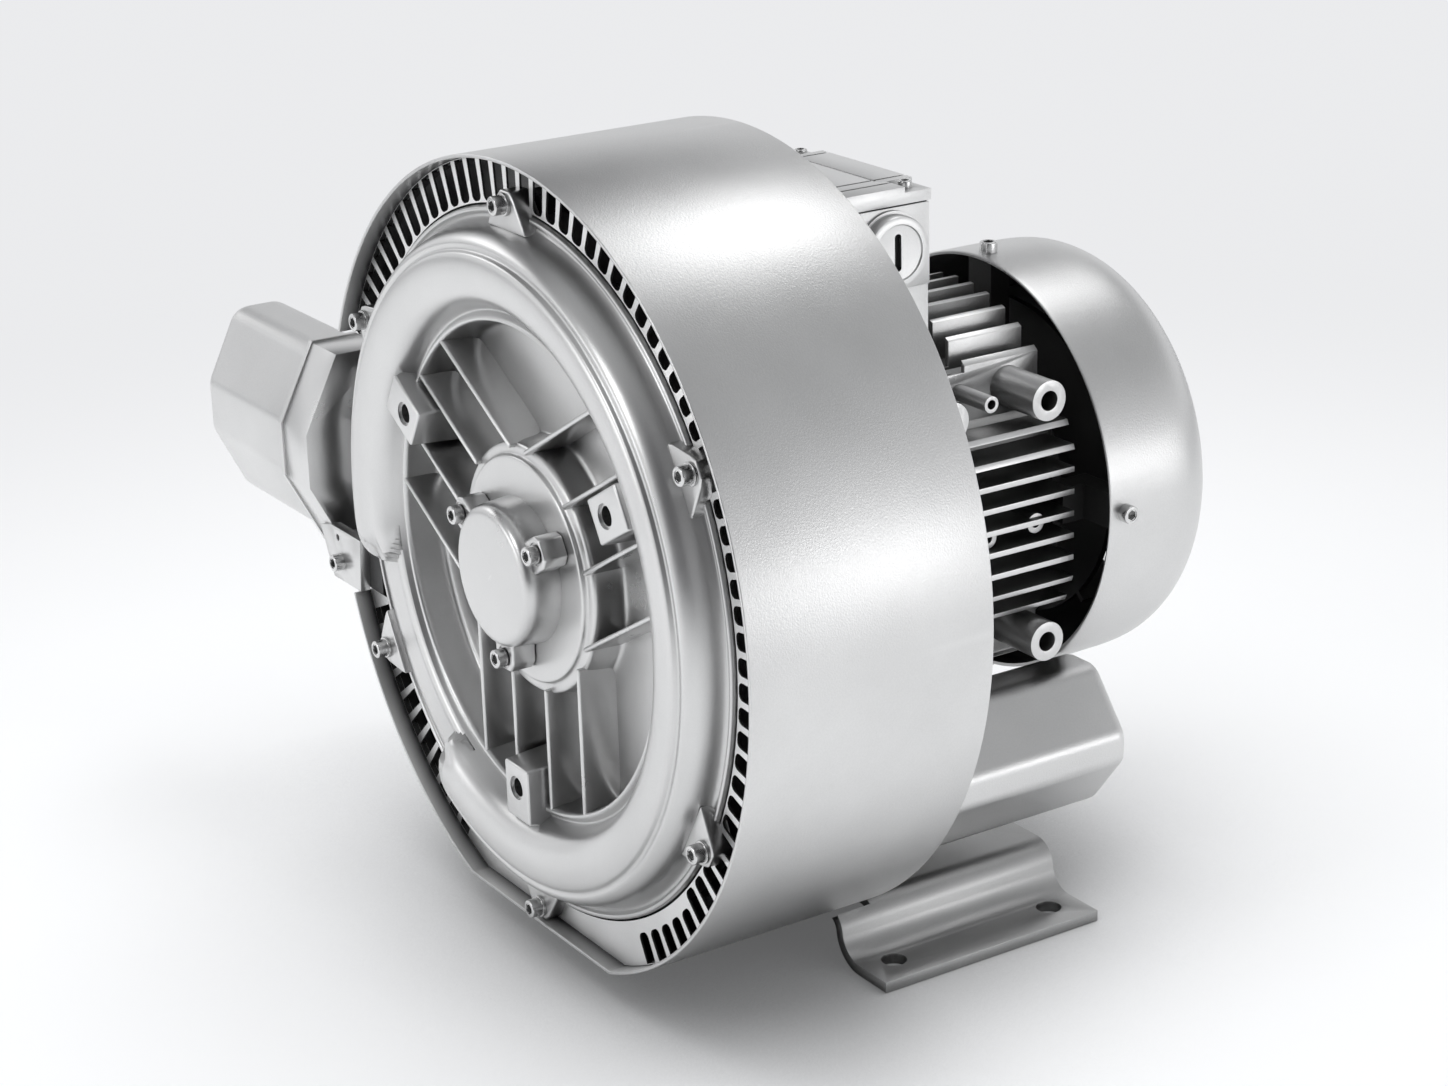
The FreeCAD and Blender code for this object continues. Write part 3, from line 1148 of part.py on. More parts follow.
def bearing(name, bore, outer, low, width, ball, count):
    middle = (bore + outer) / 2
    inner_edge = middle - ball * 0.62
    outer_edge = middle + ball * 0.62
    mid = low + width / 2
    groove = ball + d.bearing_play
    pieces = []
    for part, inside, outside in (("outer_ring", outer_edge, outer), ("inner_ring", bore, inner_edge)):
        piece = body(name + "_" + part)
        turned(piece, "ring", [[(inside, low), (outside, low), (outside, low + width), (inside, low + width)]])
        half = root(groove * groove - (ball * 0.62) * (ball * 0.62))
        if part == "outer_ring":
            track = [(inside, mid - half), (inside, mid + half, groove, "left"),
                     (inside - 1, mid + half), (inside - 1, mid - half)]
        else:
            track = [(outside, mid - half), (outside, mid + half, groove, "right"),
                     (outside + 1, mid + half), (outside + 1, mid - half)]
        grooved(piece, "track", [track])
        pieces.append(piece)
    cage = body(name + "_cage")
    slim = ball * 0.2
    turned(cage, "ring", [[(middle - slim, mid - ball * 1.25), (middle + slim, mid - ball * 1.25),
                           (middle + slim, mid + ball * 1.25), (middle - slim, mid + ball * 1.25)]])
    pocket = cut(cage, "XY", "pocket", [(0, mid, ball + d.bearing_play)], middle - ball - 1, middle + ball + 1)
    around(cage, "pockets", [pocket], count)
    pieces.append(cage)
    balls = []
    for index in range(count):
        x, z = at_angle(middle.number, 90 + full_turn * index / count)
        balls.append(Part.makeSphere(ball.number, Vector(x, mid.number, z)))
    pieces.append(group(name + "_balls", balls))
    return pieces


# fasteners

def ring_of(radius, angles, make):
    return [make(*at_angle(radius.number, angle)) for angle in angles]


def cover_screws():
    seat = (d.lug_front - d.washer_wall).number
    length = (d.joint_front + 16 - d.lug_front + d.washer_wall).number
    return group("cover_screws", ring_of(d.lug_circle, lug_angles,
                 lambda x, z: small_screw(Vector(x, seat, z), front, length)))


def cover_washers():
    def washer(x, z):
        place = Vector(x, d.lug_front.number, z)
        disc = Part.makeCylinder(d.washer_radius.number, d.washer_wall.number, place, front)
        return disc.cut(Part.makeCylinder(d.screw_radius.number + 0.2, d.washer_wall.number, place, front))
    return group("cover_washers", ring_of(d.lug_circle, lug_angles, washer))


def cap_screws():
    seat = -d.cap_ear_front.number
    length = (d.hub_front + d.cap_ear_front + 12).number
    return group("cap_screws", ring_of(d.cap_ear_circle, (30, 150, 270),
                 lambda x, z: small_screw(Vector(x, seat, z), front, length)))


def casing_screws():
    seat = (d.joint_front + d.stage_pitch + d.casing_lug).number
    length = (d.casing_lug + d.casing_grip).number
    return group("casing_screws", ring_of(d.lug_circle, lug_angles,
                 lambda x, z: small_screw(Vector(x, seat, z), front * -1, length)))


def big_screw(seat, along, length):
    return socket_screw(seat, along, d.big_screw_radius.number, length, d.big_head_radius.number,
                        d.big_head_height.number, d.socket_flat.number * 1.5)


def flange_screws():
    seat = (d.flange_front + d.flange_plate).number
    return group("flange_screws", ring_of(d.flange_screw_circle, (45, 135, 225, 315),
                 lambda x, z: big_screw(Vector(x, seat, z), front * -1, 28)))


def cowl_screws():
    solids = []
    for angle in (0, 90, 180, 270):
        x, z = at_angle(1, angle)
        along = Vector(x, 0, z)
        seat = along * d.cowl_radius.number + Vector(0, d.cowl_screw_at.number, 0)
        solids.append(small_screw(seat, along, 12))
    return group("cowl_screws", solids)


def lid_screws():
    solids = []
    inset = d.lid_screw_inset
    seat = (d.box_seam + 1 + d.lid_height - 3).number
    for x in (-1, 1):
        for y in (d.box_front + inset, d.box_rear - inset):
            place = Vector(((d.box_half - inset) * x).number, y.number, seat)
            solids.append(socket_screw(place, Vector(0, 0, 1), 2, 20, 3.6, 4, 1.6))
    return group("lid_screws", solids)


def port_screws():
    inlet = Vector(d.ear_screw_x.number, (d.ear_face - d.ear_plate).number, d.ear_screw_z.number)
    solids = [small_screw(inlet, front, 18)]
    for x in (-1, 1):
        across = (d.outlet_x + x * (d.outlet_half_width + d.outlet_ear / 2)).number
        seat = Vector(across, (d.outlet_neck + 5).number, d.outlet_z.number)
        solids.append(small_screw(seat, front * -1, 16))
    return group("port_screws", solids)


def riser_screws():
    solids = []
    for x in (-1, 1):
        across = (d.riser_half * 0.6 * x).number
        seat = Vector(across, (d.riser_front + d.riser_plate).number, (d.riser_top - 16).number)
        solids.append(big_screw(seat, front * -1, 20))
        for y in (d.bridge_front + 14, d.riser_rear - 14):
            seat = Vector(across, y.number, (-d.shaft_height + d.foot_rise - d.foot_plate).number)
            solids.append(big_screw(seat, Vector(0, 0, -1), 11))
    return group("riser_screws", solids)


pieces = [shroud(), guard_ring(), front_cover(), bearing_cap(), centre_casing(), rear_casing()]
pieces += [cover_screws(), cover_washers(), cap_screws(), casing_screws()]
pieces += [motor_flange(), flange_screws(), motor_frame(), stator_core(), end_shield(), fan_cowl(), cowl_screws()]
pieces.append(windings())
pieces += [terminal_base(), terminal_gasket(), terminal_lid(), lid_screws(), terminal_block()]
pieces += [blanking_plug(), cable_gland()]
pieces += [inlet_collar(), inlet_silencer(), inlet_foam(), outlet_collar(), outlet_silencer(), outlet_foam()]
pieces += [port_screws(), foot_bracket(), foot_riser(), riser_screws()]
first = d.joint_front + d.running_gap
second = first + d.stage_pitch
pieces += [shaft(), impeller("impeller_front", first), impeller("impeller_rear", second)]
pieces.append(impeller_keys((first, second)))
pieces.append(sleeve("front_sleeve", d.impeller_seat, d.impeller_seat + 5,
                     d.front_bearing_at + d.bearing_width, first))
pieces.append(sleeve("stage_sleeve", d.impeller_seat, d.impeller_seat + 9, first + d.impeller_width, second))
pieces.append(sleeve("rear_sleeve", d.impeller_seat, d.impeller_seat + 5, second + d.impeller_width,
                     d.drive_bearing_at - 2))
pieces.append(sleeve("stage_seal", d.impeller_seat + 9 + d.seat_gap, d.casing_bore,
                     d.joint_front + d.impeller_width + 8, d.joint_front + d.impeller_width + 20))
pieces.append(sleeve("rear_seal", d.impeller_seat + 5 + d.seat_gap, d.casing_bore,
                     d.flange_front - 14, d.flange_front - 4))
pieces.append(sleeve("front_circlip", d.bearing_bore - d.clip_groove, d.bearing_bore + 3,
                     d.front_bearing_at - d.clip_wall, d.front_bearing_at))
pieces += [rotor_core(), cooling_fan()]
pieces.append(sleeve("fan_clip", d.fan_seat, d.fan_seat + 5, d.fan_rear, d.fan_rear + 1.6))
pieces += bearing("front_bearing", d.bearing_bore, d.bearing_outer, d.front_bearing_at, d.bearing_width,
                  d.ball_size, 8)
pieces += bearing("drive_bearing", d.drive_bore, d.drive_outer, d.drive_bearing_at, d.drive_width,
                  d.drive_ball, 8)
pieces += bearing("rear_bearing", d.bearing_bore, d.bearing_outer, d.rear_bearing_at, d.bearing_width,
                  d.ball_size, 8)

doc.recompute()
faults = []
for item in doc.Objects:
    if "Invalid" in item.State or "Error" in item.State:
        faults.append(item.Name + ": " + item.getStatusString())
for piece in pieces:
    if piece.Shape.isNull() or not piece.Shape.isValid():
        faults.append(piece.Label + " has no valid shape")
if faults:
    raise ValueError("; ".join(faults))

os.makedirs("parts", exist_ok=True)
for piece in pieces:
    piece.Shape.exportStep(os.path.join("parts", piece.Label + ".step"))
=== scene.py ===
import math

import bmesh
import bpy
from mathutils import Matrix, Quaternion, Vector


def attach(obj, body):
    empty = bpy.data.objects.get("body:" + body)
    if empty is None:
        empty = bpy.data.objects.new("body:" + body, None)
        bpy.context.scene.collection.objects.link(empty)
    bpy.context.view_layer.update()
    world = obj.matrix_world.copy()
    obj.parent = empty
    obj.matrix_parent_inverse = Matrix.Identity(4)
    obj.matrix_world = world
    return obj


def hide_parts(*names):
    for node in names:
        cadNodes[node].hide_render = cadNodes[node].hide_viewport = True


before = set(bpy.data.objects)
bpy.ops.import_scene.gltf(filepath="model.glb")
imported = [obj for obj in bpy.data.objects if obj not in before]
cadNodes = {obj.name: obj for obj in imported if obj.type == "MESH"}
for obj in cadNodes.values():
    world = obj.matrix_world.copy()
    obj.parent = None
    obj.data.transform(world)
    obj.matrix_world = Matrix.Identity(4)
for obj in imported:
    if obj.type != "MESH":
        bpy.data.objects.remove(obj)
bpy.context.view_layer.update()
mm = 0.001
shaftPlace = Vector((0, -0.197, 0.222))   # where the shaft line meets the front edge of the shroud
print("frame loaded:", len(cadNodes), "nodes")


# small helpers

def deselectAll():
    if bpy.context.mode != "OBJECT":
        bpy.ops.object.mode_set(mode="OBJECT")
    bpy.ops.object.select_all(action="DESELECT")


def makeActive(piece):
    deselectAll()
    piece.select_set(True)
    bpy.context.view_layer.objects.active = piece


def startEdit(piece, mode="VERT"):
    makeActive(piece)
    bpy.ops.object.mode_set(mode="EDIT")
    bpy.ops.mesh.select_mode(type=mode)


def endEdit():
    bpy.ops.object.mode_set(mode="OBJECT")


def pickVerts(piece, test):
    # selects the points whose place passes the test, everything else is let go
    mesh = bmesh.from_edit_mesh(piece.data)
    for vert in mesh.verts:
        vert.select = bool(test(vert.co))
    mesh.select_flush_mode()
    bmesh.update_edit_mesh(piece.data)


def pickFaces(piece, test):
    mesh = bmesh.from_edit_mesh(piece.data)
    for face in mesh.faces:
        face.select = bool(test(face.calc_center_median(), face.normal))
    mesh.select_flush_mode()
    bmesh.update_edit_mesh(piece.data)


def bakePlace(piece):
    makeActive(piece)
    bpy.ops.object.transform_apply(location=True, rotation=True, scale=True)


def joinPieces(name, pieces):
    deselectAll()
    for piece in pieces:
        piece.select_set(True)
    bpy.context.view_layer.objects.active = pieces[0]
    if len(pieces) > 1:
        bpy.ops.object.join()
    pieces[0].name = name
    return pieces[0]


def copyPiece(piece, matrix):
    twin = piece.copy()
    twin.data = piece.data.copy()
    bpy.context.scene.collection.objects.link(twin)
    twin.data.transform(matrix)
    return twin


def turnAbout(axis, degrees):
    return Matrix.Rotation(math.radians(degrees), 4, axis)


def applyModifier(piece, kind, **settings):
    makeActive(piece)
    modifier = piece.modifiers.new(kind.lower(), kind)
    for key, value in settings.items():
        setattr(modifier, key, value)
    bpy.ops.object.modifier_apply(modifier=modifier.name)
    return piece


def roundEdges(piece, width, segments=2, angle=30):
    return applyModifier(piece, "BEVEL", width=width * mm, segments=segments, limit_method="ANGLE",
                         angle_limit=math.radians(angle), use_clamp_overlap=True)


def cutAway(piece, cutter):
    applyModifier(piece, "BOOLEAN", operation="DIFFERENCE", solver="EXACT", object=cutter)
    bpy.data.objects.remove(cutter)
    return piece


def softShade(piece, angle=35):
    makeActive(piece)
    bpy.ops.object.shade_smooth_by_angle(angle=math.radians(angle))


def smoothLine(points, rounds=2):
    # cuts the corners of a given line again and again; a doubled point stays sharp
    for turn in range(rounds):
        softer = [points[0]]
        for a, b in zip(points, points[1:]):
            softer.append((a[0] * 0.75 + b[0] * 0.25, a[1] * 0.75 + b[1] * 0.25))
            softer.append((a[0] * 0.25 + b[0] * 0.75, a[1] * 0.25 + b[1] * 0.75))
        softer.append(points[-1])
        points = softer
    return points


def drawLine(name, points):
    # one point, drawn on from place to place
    deselectAll()
    bpy.ops.mesh.primitive_plane_add(size=0.01, location=(0, 0, 0))
    piece = bpy.context.object
    piece.name = name
    startEdit(piece)
    bpy.ops.mesh.select_all(action="SELECT")
    bpy.ops.mesh.merge(type="CENTER")
    bpy.ops.transform.translate(value=points[0])
    for before, here in zip(points, points[1:]):
        step = Vector(here) - Vector(before)
        bpy.ops.mesh.extrude_vertices_move(TRANSFORM_OT_translate={"value": step})
    return piece


def spinOutline(name, outline, steps):
    # outline of (radius, station) in millimetres, closed, spun about the shaft line
    closed = list(outline) + [outline[0]]
    piece = drawLine(name, [(r * mm, y * mm, 0) for r, y in closed])
    bpy.ops.mesh.select_all(action="SELECT")
    bpy.ops.mesh.remove_doubles(threshold=1e-6)
    bpy.ops.mesh.select_all(action="SELECT")
    bpy.ops.mesh.spin(steps=steps, angle=math.radians(360), center=(0, 0, 0), axis=(0, -1, 0))
    bpy.ops.mesh.select_all(action="SELECT")
    bpy.ops.mesh.remove_doubles(threshold=1e-6)
    bpy.ops.mesh.normals_make_consistent(inside=False)
    endEdit()
    return piece


def raiseOutline(name, outline, low, high):
    # a closed outline of (x, z), filled and drawn out along the shaft line
    closed = list(outline) + [outline[0]]
    piece = drawLine(name, [(a * mm, low * mm, b * mm) for a, b in closed])
    bpy.ops.mesh.select_all(action="SELECT")
    bpy.ops.mesh.remove_doubles(threshold=1e-6)
    bpy.ops.mesh.select_all(action="SELECT")
    bpy.ops.mesh.edge_face_add()
    bpy.ops.mesh.extrude_region_move(TRANSFORM_OT_translate={"value": (0, (high - low) * mm, 0)})
    bpy.ops.mesh.select_all(action="SELECT")
    bpy.ops.mesh.normals_make_consistent(inside=False)
    endEdit()
    return piece


def addBlock(name, low, high):
    deselectAll()
    low, high = Vector(low) * mm, Vector(high) * mm
    bpy.ops.mesh.primitive_cube_add(size=1, location=(low + high) / 2, scale=high - low)
    piece = bpy.context.object
    piece.name = name
    bakePlace(piece)
    return piece


def addRod(name, radius, start, end, sides=32):
    deselectAll()
    start, end = Vector(start) * mm, Vector(end) * mm
    bpy.ops.mesh.primitive_cylinder_add(vertices=sides, radius=radius * mm, depth=(end - start).length,
                                        location=(start + end) / 2,
                                        rotation=(end - start).to_track_quat("Z", "Y").to_euler())
    piece = bpy.context.object
    piece.name = name
    bakePlace(piece)
    return piece


def dress(piece, material, node, inPlace=False, angle=35):
    # last step for every new piece: into place, finish, body and the node that it stands for
    if not inPlace:
        piece.location = shaftPlace
        bakePlace(piece)
    softShade(piece, angle)
    piece.data.materials.clear()
    piece.data.materials.append(material)
    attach(piece, "housing")
    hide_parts(node)
    return piece


def paintWhere(piece, material, test):
    # a second finish on the faces whose middle, in millimetres from the shaft line, passes the test
    piece.data.materials.append(material)
    last = len(piece.data.materials) - 1
    for face in piece.data.polygons:
        if test((face.center - shaftPlace) / mm, face.normal):
            face.material_index = last


def refine(node, name, width):
    # a copy of a frame part, its loose triangles merged and its sharp edges eased
    piece = bpy.data.objects.new(name, cadNodes[node].data.copy())
    bpy.context.scene.collection.objects.link(piece)
    startEdit(piece)
    bpy.ops.mesh.customdata_custom_splitnormals_clear()
    bpy.ops.mesh.select_all(action="SELECT")
    bpy.ops.mesh.remove_doubles(threshold=0.004 * mm)
    bpy.ops.mesh.dissolve_limited(angle_limit=math.radians(1.5))
    endEdit()
    if width > 0:
        roundEdges(piece, width, angle=28)
    return piece


def softenEnd(piece, axis, mouth, reach, width):
    # rounds the outer edge of the end face and leaves the mouth in it alone
    startEdit(piece, "EDGE")
    mesh = bmesh.from_edit_mesh(piece.data)
    for edge in mesh.edges:
        ends = [(v.co - shaftPlace) / mm for v in edge.verts]
        edge.select = all(abs(p[axis] - mouth[axis]) < 0.3 and (p - mouth).length > reach for p in ends)
    bmesh.update_edit_mesh(piece.data)
    bpy.ops.mesh.bevel(offset=width * mm, segments=5, profile=0.6)
    endEdit()
    return piece


# finishes

def addNode(tree, kind, feeds=None, **settings):
    # feeds give each socket a link or a plain value, settings are the node's own properties
    node = tree.nodes.new("ShaderNode" + kind)
    for key, value in settings.items():
        setattr(node, key, value)
    for label, value in (feeds or {}).items():
        if isinstance(value, bpy.types.NodeSocket):
            tree.links.new(value, node.inputs[label])
        else:
            node.inputs[label].default_value = value
    return node


def addMath(tree, operation, *values, clamp=False):
    return addNode(tree, "Math", dict(enumerate(values)), operation=operation, use_clamp=clamp).outputs[0]


def addFade(tree, source, start, full, low=0, high=1, interpolation="LINEAR"):
    # goes from low to high while the source goes from start to full
    feeds = {"Value": source, "From Min": start, "From Max": full, "To Min": low, "To Max": high}
    return addNode(tree, "MapRange", feeds, interpolation_type=interpolation).outputs["Result"]


def addMix(tree, factor, first, second, blend="MIX"):
    feeds = {"Factor": factor, "A": first, "B": second}
    return addNode(tree, "Mix", feeds, data_type="RGBA", blend_type=blend).outputs["Result"]


def newGroup(name, inputs, outputs):
    group = bpy.data.node_groups.new(name, "ShaderNodeTree")
    for label, kind, value in inputs:
        socket = group.interface.new_socket(name=label, in_out="INPUT", socket_type=kind)
        socket.default_value = value
    for label, kind in outputs:
        group.interface.new_socket(name=label, in_out="OUTPUT", socket_type=kind)
    return group, group.nodes.new("NodeGroupInput").outputs, group.nodes.new("NodeGroupOutput").inputs


def makeMetalSkin():
    # fine grain of blasted metal, cloudy tone and roughness, and a painted highlight that brightens the edges
    group, given, result = newGroup("metalSkin", [
        ("Dark Tone", "NodeSocketColor", (0.6, 0.6, 0.6, 1)),
        ("Light Tone", "NodeSocketColor", (0.8, 0.8, 0.8, 1)),
        ("Grain Size", "NodeSocketFloat", 900), ("Grain Depth", "NodeSocketFloat", 0.2),
        ("Cloud Size", "NodeSocketFloat", 30), ("Smooth", "NodeSocketFloat", 0.3),
        ("Rough", "NodeSocketFloat", 0.42), ("Edge Highlight", "NodeSocketFloat", 0.2),
        ("Hollow Shade", "NodeSocketFloat", 0.5)],
        [("Color", "NodeSocketColor"), ("Roughness", "NodeSocketFloat"), ("Normal", "NodeSocketVector")])
    place = addNode(group, "TexCoord").outputs["Object"]
    grain = addNode(group, "TexNoise", {"Vector": place, "Scale": given["Grain Size"], "Detail": 3,
                                        "Roughness": 0.62}).outputs["Fac"]
    bump = addNode(group, "Bump", {"Height": grain, "Strength": given["Grain Depth"], "Distance": 0.00025})
    cloud = addNode(group, "TexNoise", {"Vector": place, "Scale": given["Cloud Size"],
                                        "Detail": 5}).outputs["Fac"]
    speck = addMath(group, "MULTIPLY_ADD", addFade(group, cloud, 0.32, 0.68), 0.5,
                    addMath(group, "MULTIPLY", grain, 0.5))
    tone = addMix(group, speck, given["Dark Tone"], given["Light Tone"])
    # painted highlight: convex edges are mixed towards near white
    edge = addFade(group, addNode(group, "NewGeometry").outputs["Pointiness"], 0.52, 0.62)
    bright = addMix(group, addMath(group, "MULTIPLY", edge, given["Edge Highlight"]), tone, (0.95, 0.95, 0.95, 1))
    # painted shade: corners and deep gaps are darkened in the colour
    gap = addNode(group, "AmbientOcclusion", {"Distance": 0.045}, samples=8).outputs["AO"]
    deep = addMix(group, given["Hollow Shade"], bright, addFade(group, gap, 0.1, 0.9, 0.12), "MULTIPLY")
    rough = addFade(group, cloud, 0.3, 0.7, given["Smooth"], given["Rough"])
    group.links.new(deep, result["Color"])
    group.links.new(rough, result["Roughness"])
    group.links.new(bump.outputs["Normal"], result["Normal"])
    return group


metalSkin = makeMetalSkin()


def makeFinish(name, dark, light, metallic, smooth, rough, grainSize, grainDepth, cloudSize, edgeHighlight,
               hollow=0.5):
    material = bpy.data.materials.new(name)
    material.use_nodes = True
    tree = material.node_tree
    values = {"Dark Tone": (*dark, 1), "Light Tone": (*light, 1), "Grain Size": grainSize,
              "Grain Depth": grainDepth, "Cloud Size": cloudSize, "Smooth": smooth, "Rough": rough,
              "Edge Highlight": edgeHighlight, "Hollow Shade": hollow}
    skin = addNode(tree, "Group", values, node_tree=metalSkin)
    shader = tree.nodes["Principled BSDF"]
    for given, taken in (("Color", "Base Color"), ("Roughness", "Roughness"), ("Normal", "Normal")):
        tree.links.new(skin.outputs[given], shader.inputs[taken])
    shader.inputs["Metallic"].default_value = metallic
    return material


def paintShadeWhere(material, inside):
    # painted shade: the same finish, dulled to near black where the piece lies in the shade inside the shroud
    tree = material.node_tree
    shader = tree.nodes["Principled BSDF"]
    skin = shader.inputs["Base Color"].links[0].from_socket
    mask = inside(tree, addNode(tree, "TexCoord").outputs)
    # painted shade: near black colour, and no metal, where the mask is 1
    tree.links.new(addMix(tree, mask, skin, (0.012, 0.012, 0.013, 1)), shader.inputs["Base Color"])
    tree.links.new(addMath(tree, "SUBTRACT", 1, mask, clamp=True), shader.inputs["Metallic"])
    return material


# painted shade on the inner side of the shroud: within the radius and above the flat side, fading in from the
# front edge
shadeSide = {"radius": 214.9, "lowest": -202.2, "start": -3, "full": 9}


def shadedInsideSheet(tree, place):
    shift = addNode(tree, "VectorMath", {0: place["Object"], 1: shaftPlace}, operation="SUBTRACT")
    flat = addNode(tree, "VectorMath", {0: shift.outputs["Vector"], 1: (1, 0, 1)}, operation="MULTIPLY")
    reach = addNode(tree, "VectorMath", {0: flat.outputs["Vector"]}, operation="LENGTH").outputs["Value"]
    parts = addNode(tree, "SeparateXYZ", {"Vector": shift.outputs["Vector"]}).outputs
    within = addMath(tree, "LESS_THAN", reach, shadeSide["radius"] * mm)
    above = addMath(tree, "GREATER_THAN", parts["Z"], shadeSide["lowest"] * mm)
    depth = addFade(tree, parts["Y"], shadeSide["start"] * mm, shadeSide["full"] * mm)
    return addMath(tree, "MULTIPLY", addMath(tree, "MULTIPLY", within, above), depth)


def shadedInsideShroud(tree, place):
    # painted shade mask: 1 on the casings inside the shroud and on the front of the duct's neck, 0 on the
    # duct that reaches out
    parts = addNode(tree, "SeparateXYZ", {"Vector": place["Object"]}).outputs
    facing = addNode(tree, "SeparateXYZ", {"Vector": place["Normal"]}).outputs
    # the limit moves outwards where the face looks forwards
    limit = addFade(tree, facing["Y"], -0.6, -0.3, -0.218, -0.2)
    return addMath(tree, "GREATER_THAN", parts["X"], limit)


def grey(level):
    return (level, level, level)


# dark and light tone, metallic, lowest and highest roughness, grain size and depth, cloud size, painted edge
# highlight, and for some how much painted shade darkens corners
castSilver = makeFinish("castSilver", grey(0.64), grey(0.74), 1, 0.27, 0.33, 1000, 0.07, 18, 0.3, 0.4)
sheetSilver = makeFinish("sheetSilver", grey(0.62), grey(0.80), 1, 0.31, 0.36, 1000, 0.45, 10, 0.15, 0.2)
shroudSilver = makeFinish("shroudSilver", grey(0.62), grey(0.80), 1, 0.31, 0.36, 1000, 0.45, 10, 0.15, 0.2)
casingSilver = makeFinish("casingSilver", grey(0.60), grey(0.74), 1, 0.30, 0.42, 620, 0.35, 26, 0.3)
frameSilver = makeFinish("frameSilver", grey(0.58), grey(0.72), 1, 0.28, 0.42, 700, 0.4, 30, 0.4, 0.85)
boxSilver = makeFinish("boxSilver", grey(0.70), grey(0.82), 1, 0.34, 0.46, 800, 0.3, 24, 0.3, 0.4)
footSteel = makeFinish("footSteel", grey(0.38), grey(0.52), 1, 0.32, 0.42, 1200, 0.25, 20, 0.25)
ringSteel = makeFinish("ringSteel", grey(0.8), grey(0.92), 1, 0.3, 0.4, 1100, 0.1, 30, 0, 0)
screwZinc = makeFinish("screwZinc", grey(0.60), grey(0.80), 1, 0.16, 0.28, 1400, 0.08, 90, 0.2)
# near-black finish that stands in for painted shade in slots, gaps and behind parts
paintedShadeBlack = makeFinish("paintedShadeBlack", grey(0.010), grey(0.022), 0, 0.55, 0.75, 500, 0.5, 40, 0)
turnedSteel = makeFinish("turnedSteel", grey(0.52), grey(0.66), 1, 0.18, 0.30, 1600, 0.1, 50, 0.2)
coreSteel = makeFinish("coreSteel", grey(0.30), grey(0.40), 1, 0.38, 0.5, 1400, 0.3, 30, 0.1)
copperWire = makeFinish("copperWire", (0.55, 0.25, 0.12), (0.72, 0.36, 0.18), 1, 0.28, 0.42, 700, 0.5, 60, 0)
foamGrey = makeFinish("foamGrey", grey(0.06), grey(0.12), 0, 0.85, 0.95, 420, 1, 60, 0)
rubberBlack = makeFinish("rubberBlack", grey(0.02), grey(0.035), 0, 0.5, 0.65, 900, 0.3, 40, 0)
plasticBlack = makeFinish("plasticBlack", grey(0.025), grey(0.04), 0, 0.35, 0.5, 900, 0.2, 40, 0)
cageBrass = makeFinish("cageBrass", (0.62, 0.47, 0.24), (0.76, 0.6, 0.33), 1, 0.2, 0.32, 1200, 0.1, 50, 0.1)
# painted shade inside the shroud and on the casings seen through the guard ring
paintShadeWhere(shroudSilver, shadedInsideSheet)
paintShadeWhere(casingSilver, shadedInsideShroud)
print("finishes made")

# finish of every frame part, also of those that a new piece stands for
for nodeNames, finish in (
        (("centre_casing",), casingSilver),
        (("rear_casing",), castSilver),
        (("motor_flange",), frameSilver),
        # painted shade: the end shield under the cowl gets the near-black finish
        (("end_shield",), paintedShadeBlack),
        (("cover_washers", "casing_screws", "flange_screws", "riser_screws", "cap_screws", "cover_screws",
          "cowl_screws", "lid_screws", "port_screws"), screwZinc),
        (("stator_core", "rotor_core"), coreSteel),
        (("stator_windings",), copperWire),
        (("shaft", "impeller_keys", "front_sleeve", "stage_sleeve", "rear_sleeve", "front_circlip",
          "fan_clip"), turnedSteel),
        (("impeller_front", "impeller_rear"), castSilver),
        (("cooling_fan", "terminal_block", "cable_gland"), plasticBlack),
        (("terminal_gasket", "stage_seal", "rear_seal"), rubberBlack),
        (("inlet_foam", "outlet_foam"), foamGrey),
        (("foot_riser", "foot_bracket"), footSteel),
        (("shroud", "inlet_collar", "inlet_silencer", "outlet_collar", "outlet_silencer", "fan_cowl"),
         sheetSilver),
        (("guard_ring",), ringSteel),
        (("front_cover", "bearing_cap"), castSilver),
        (("motor_frame",), frameSilver),
        (("terminal_base", "terminal_lid", "blanking_plug"), boxSilver)):
    for nodeName in nodeNames:
        for slot in cadNodes[nodeName].material_slots:
            slot.material = finish
for nodeName, node in cadNodes.items():
    if "bearing_" in nodeName and nodeName != "bearing_cap":
        for slot in node.material_slots:
            slot.material = cageBrass if nodeName.endswith("cage") else turnedSteel


# front cover

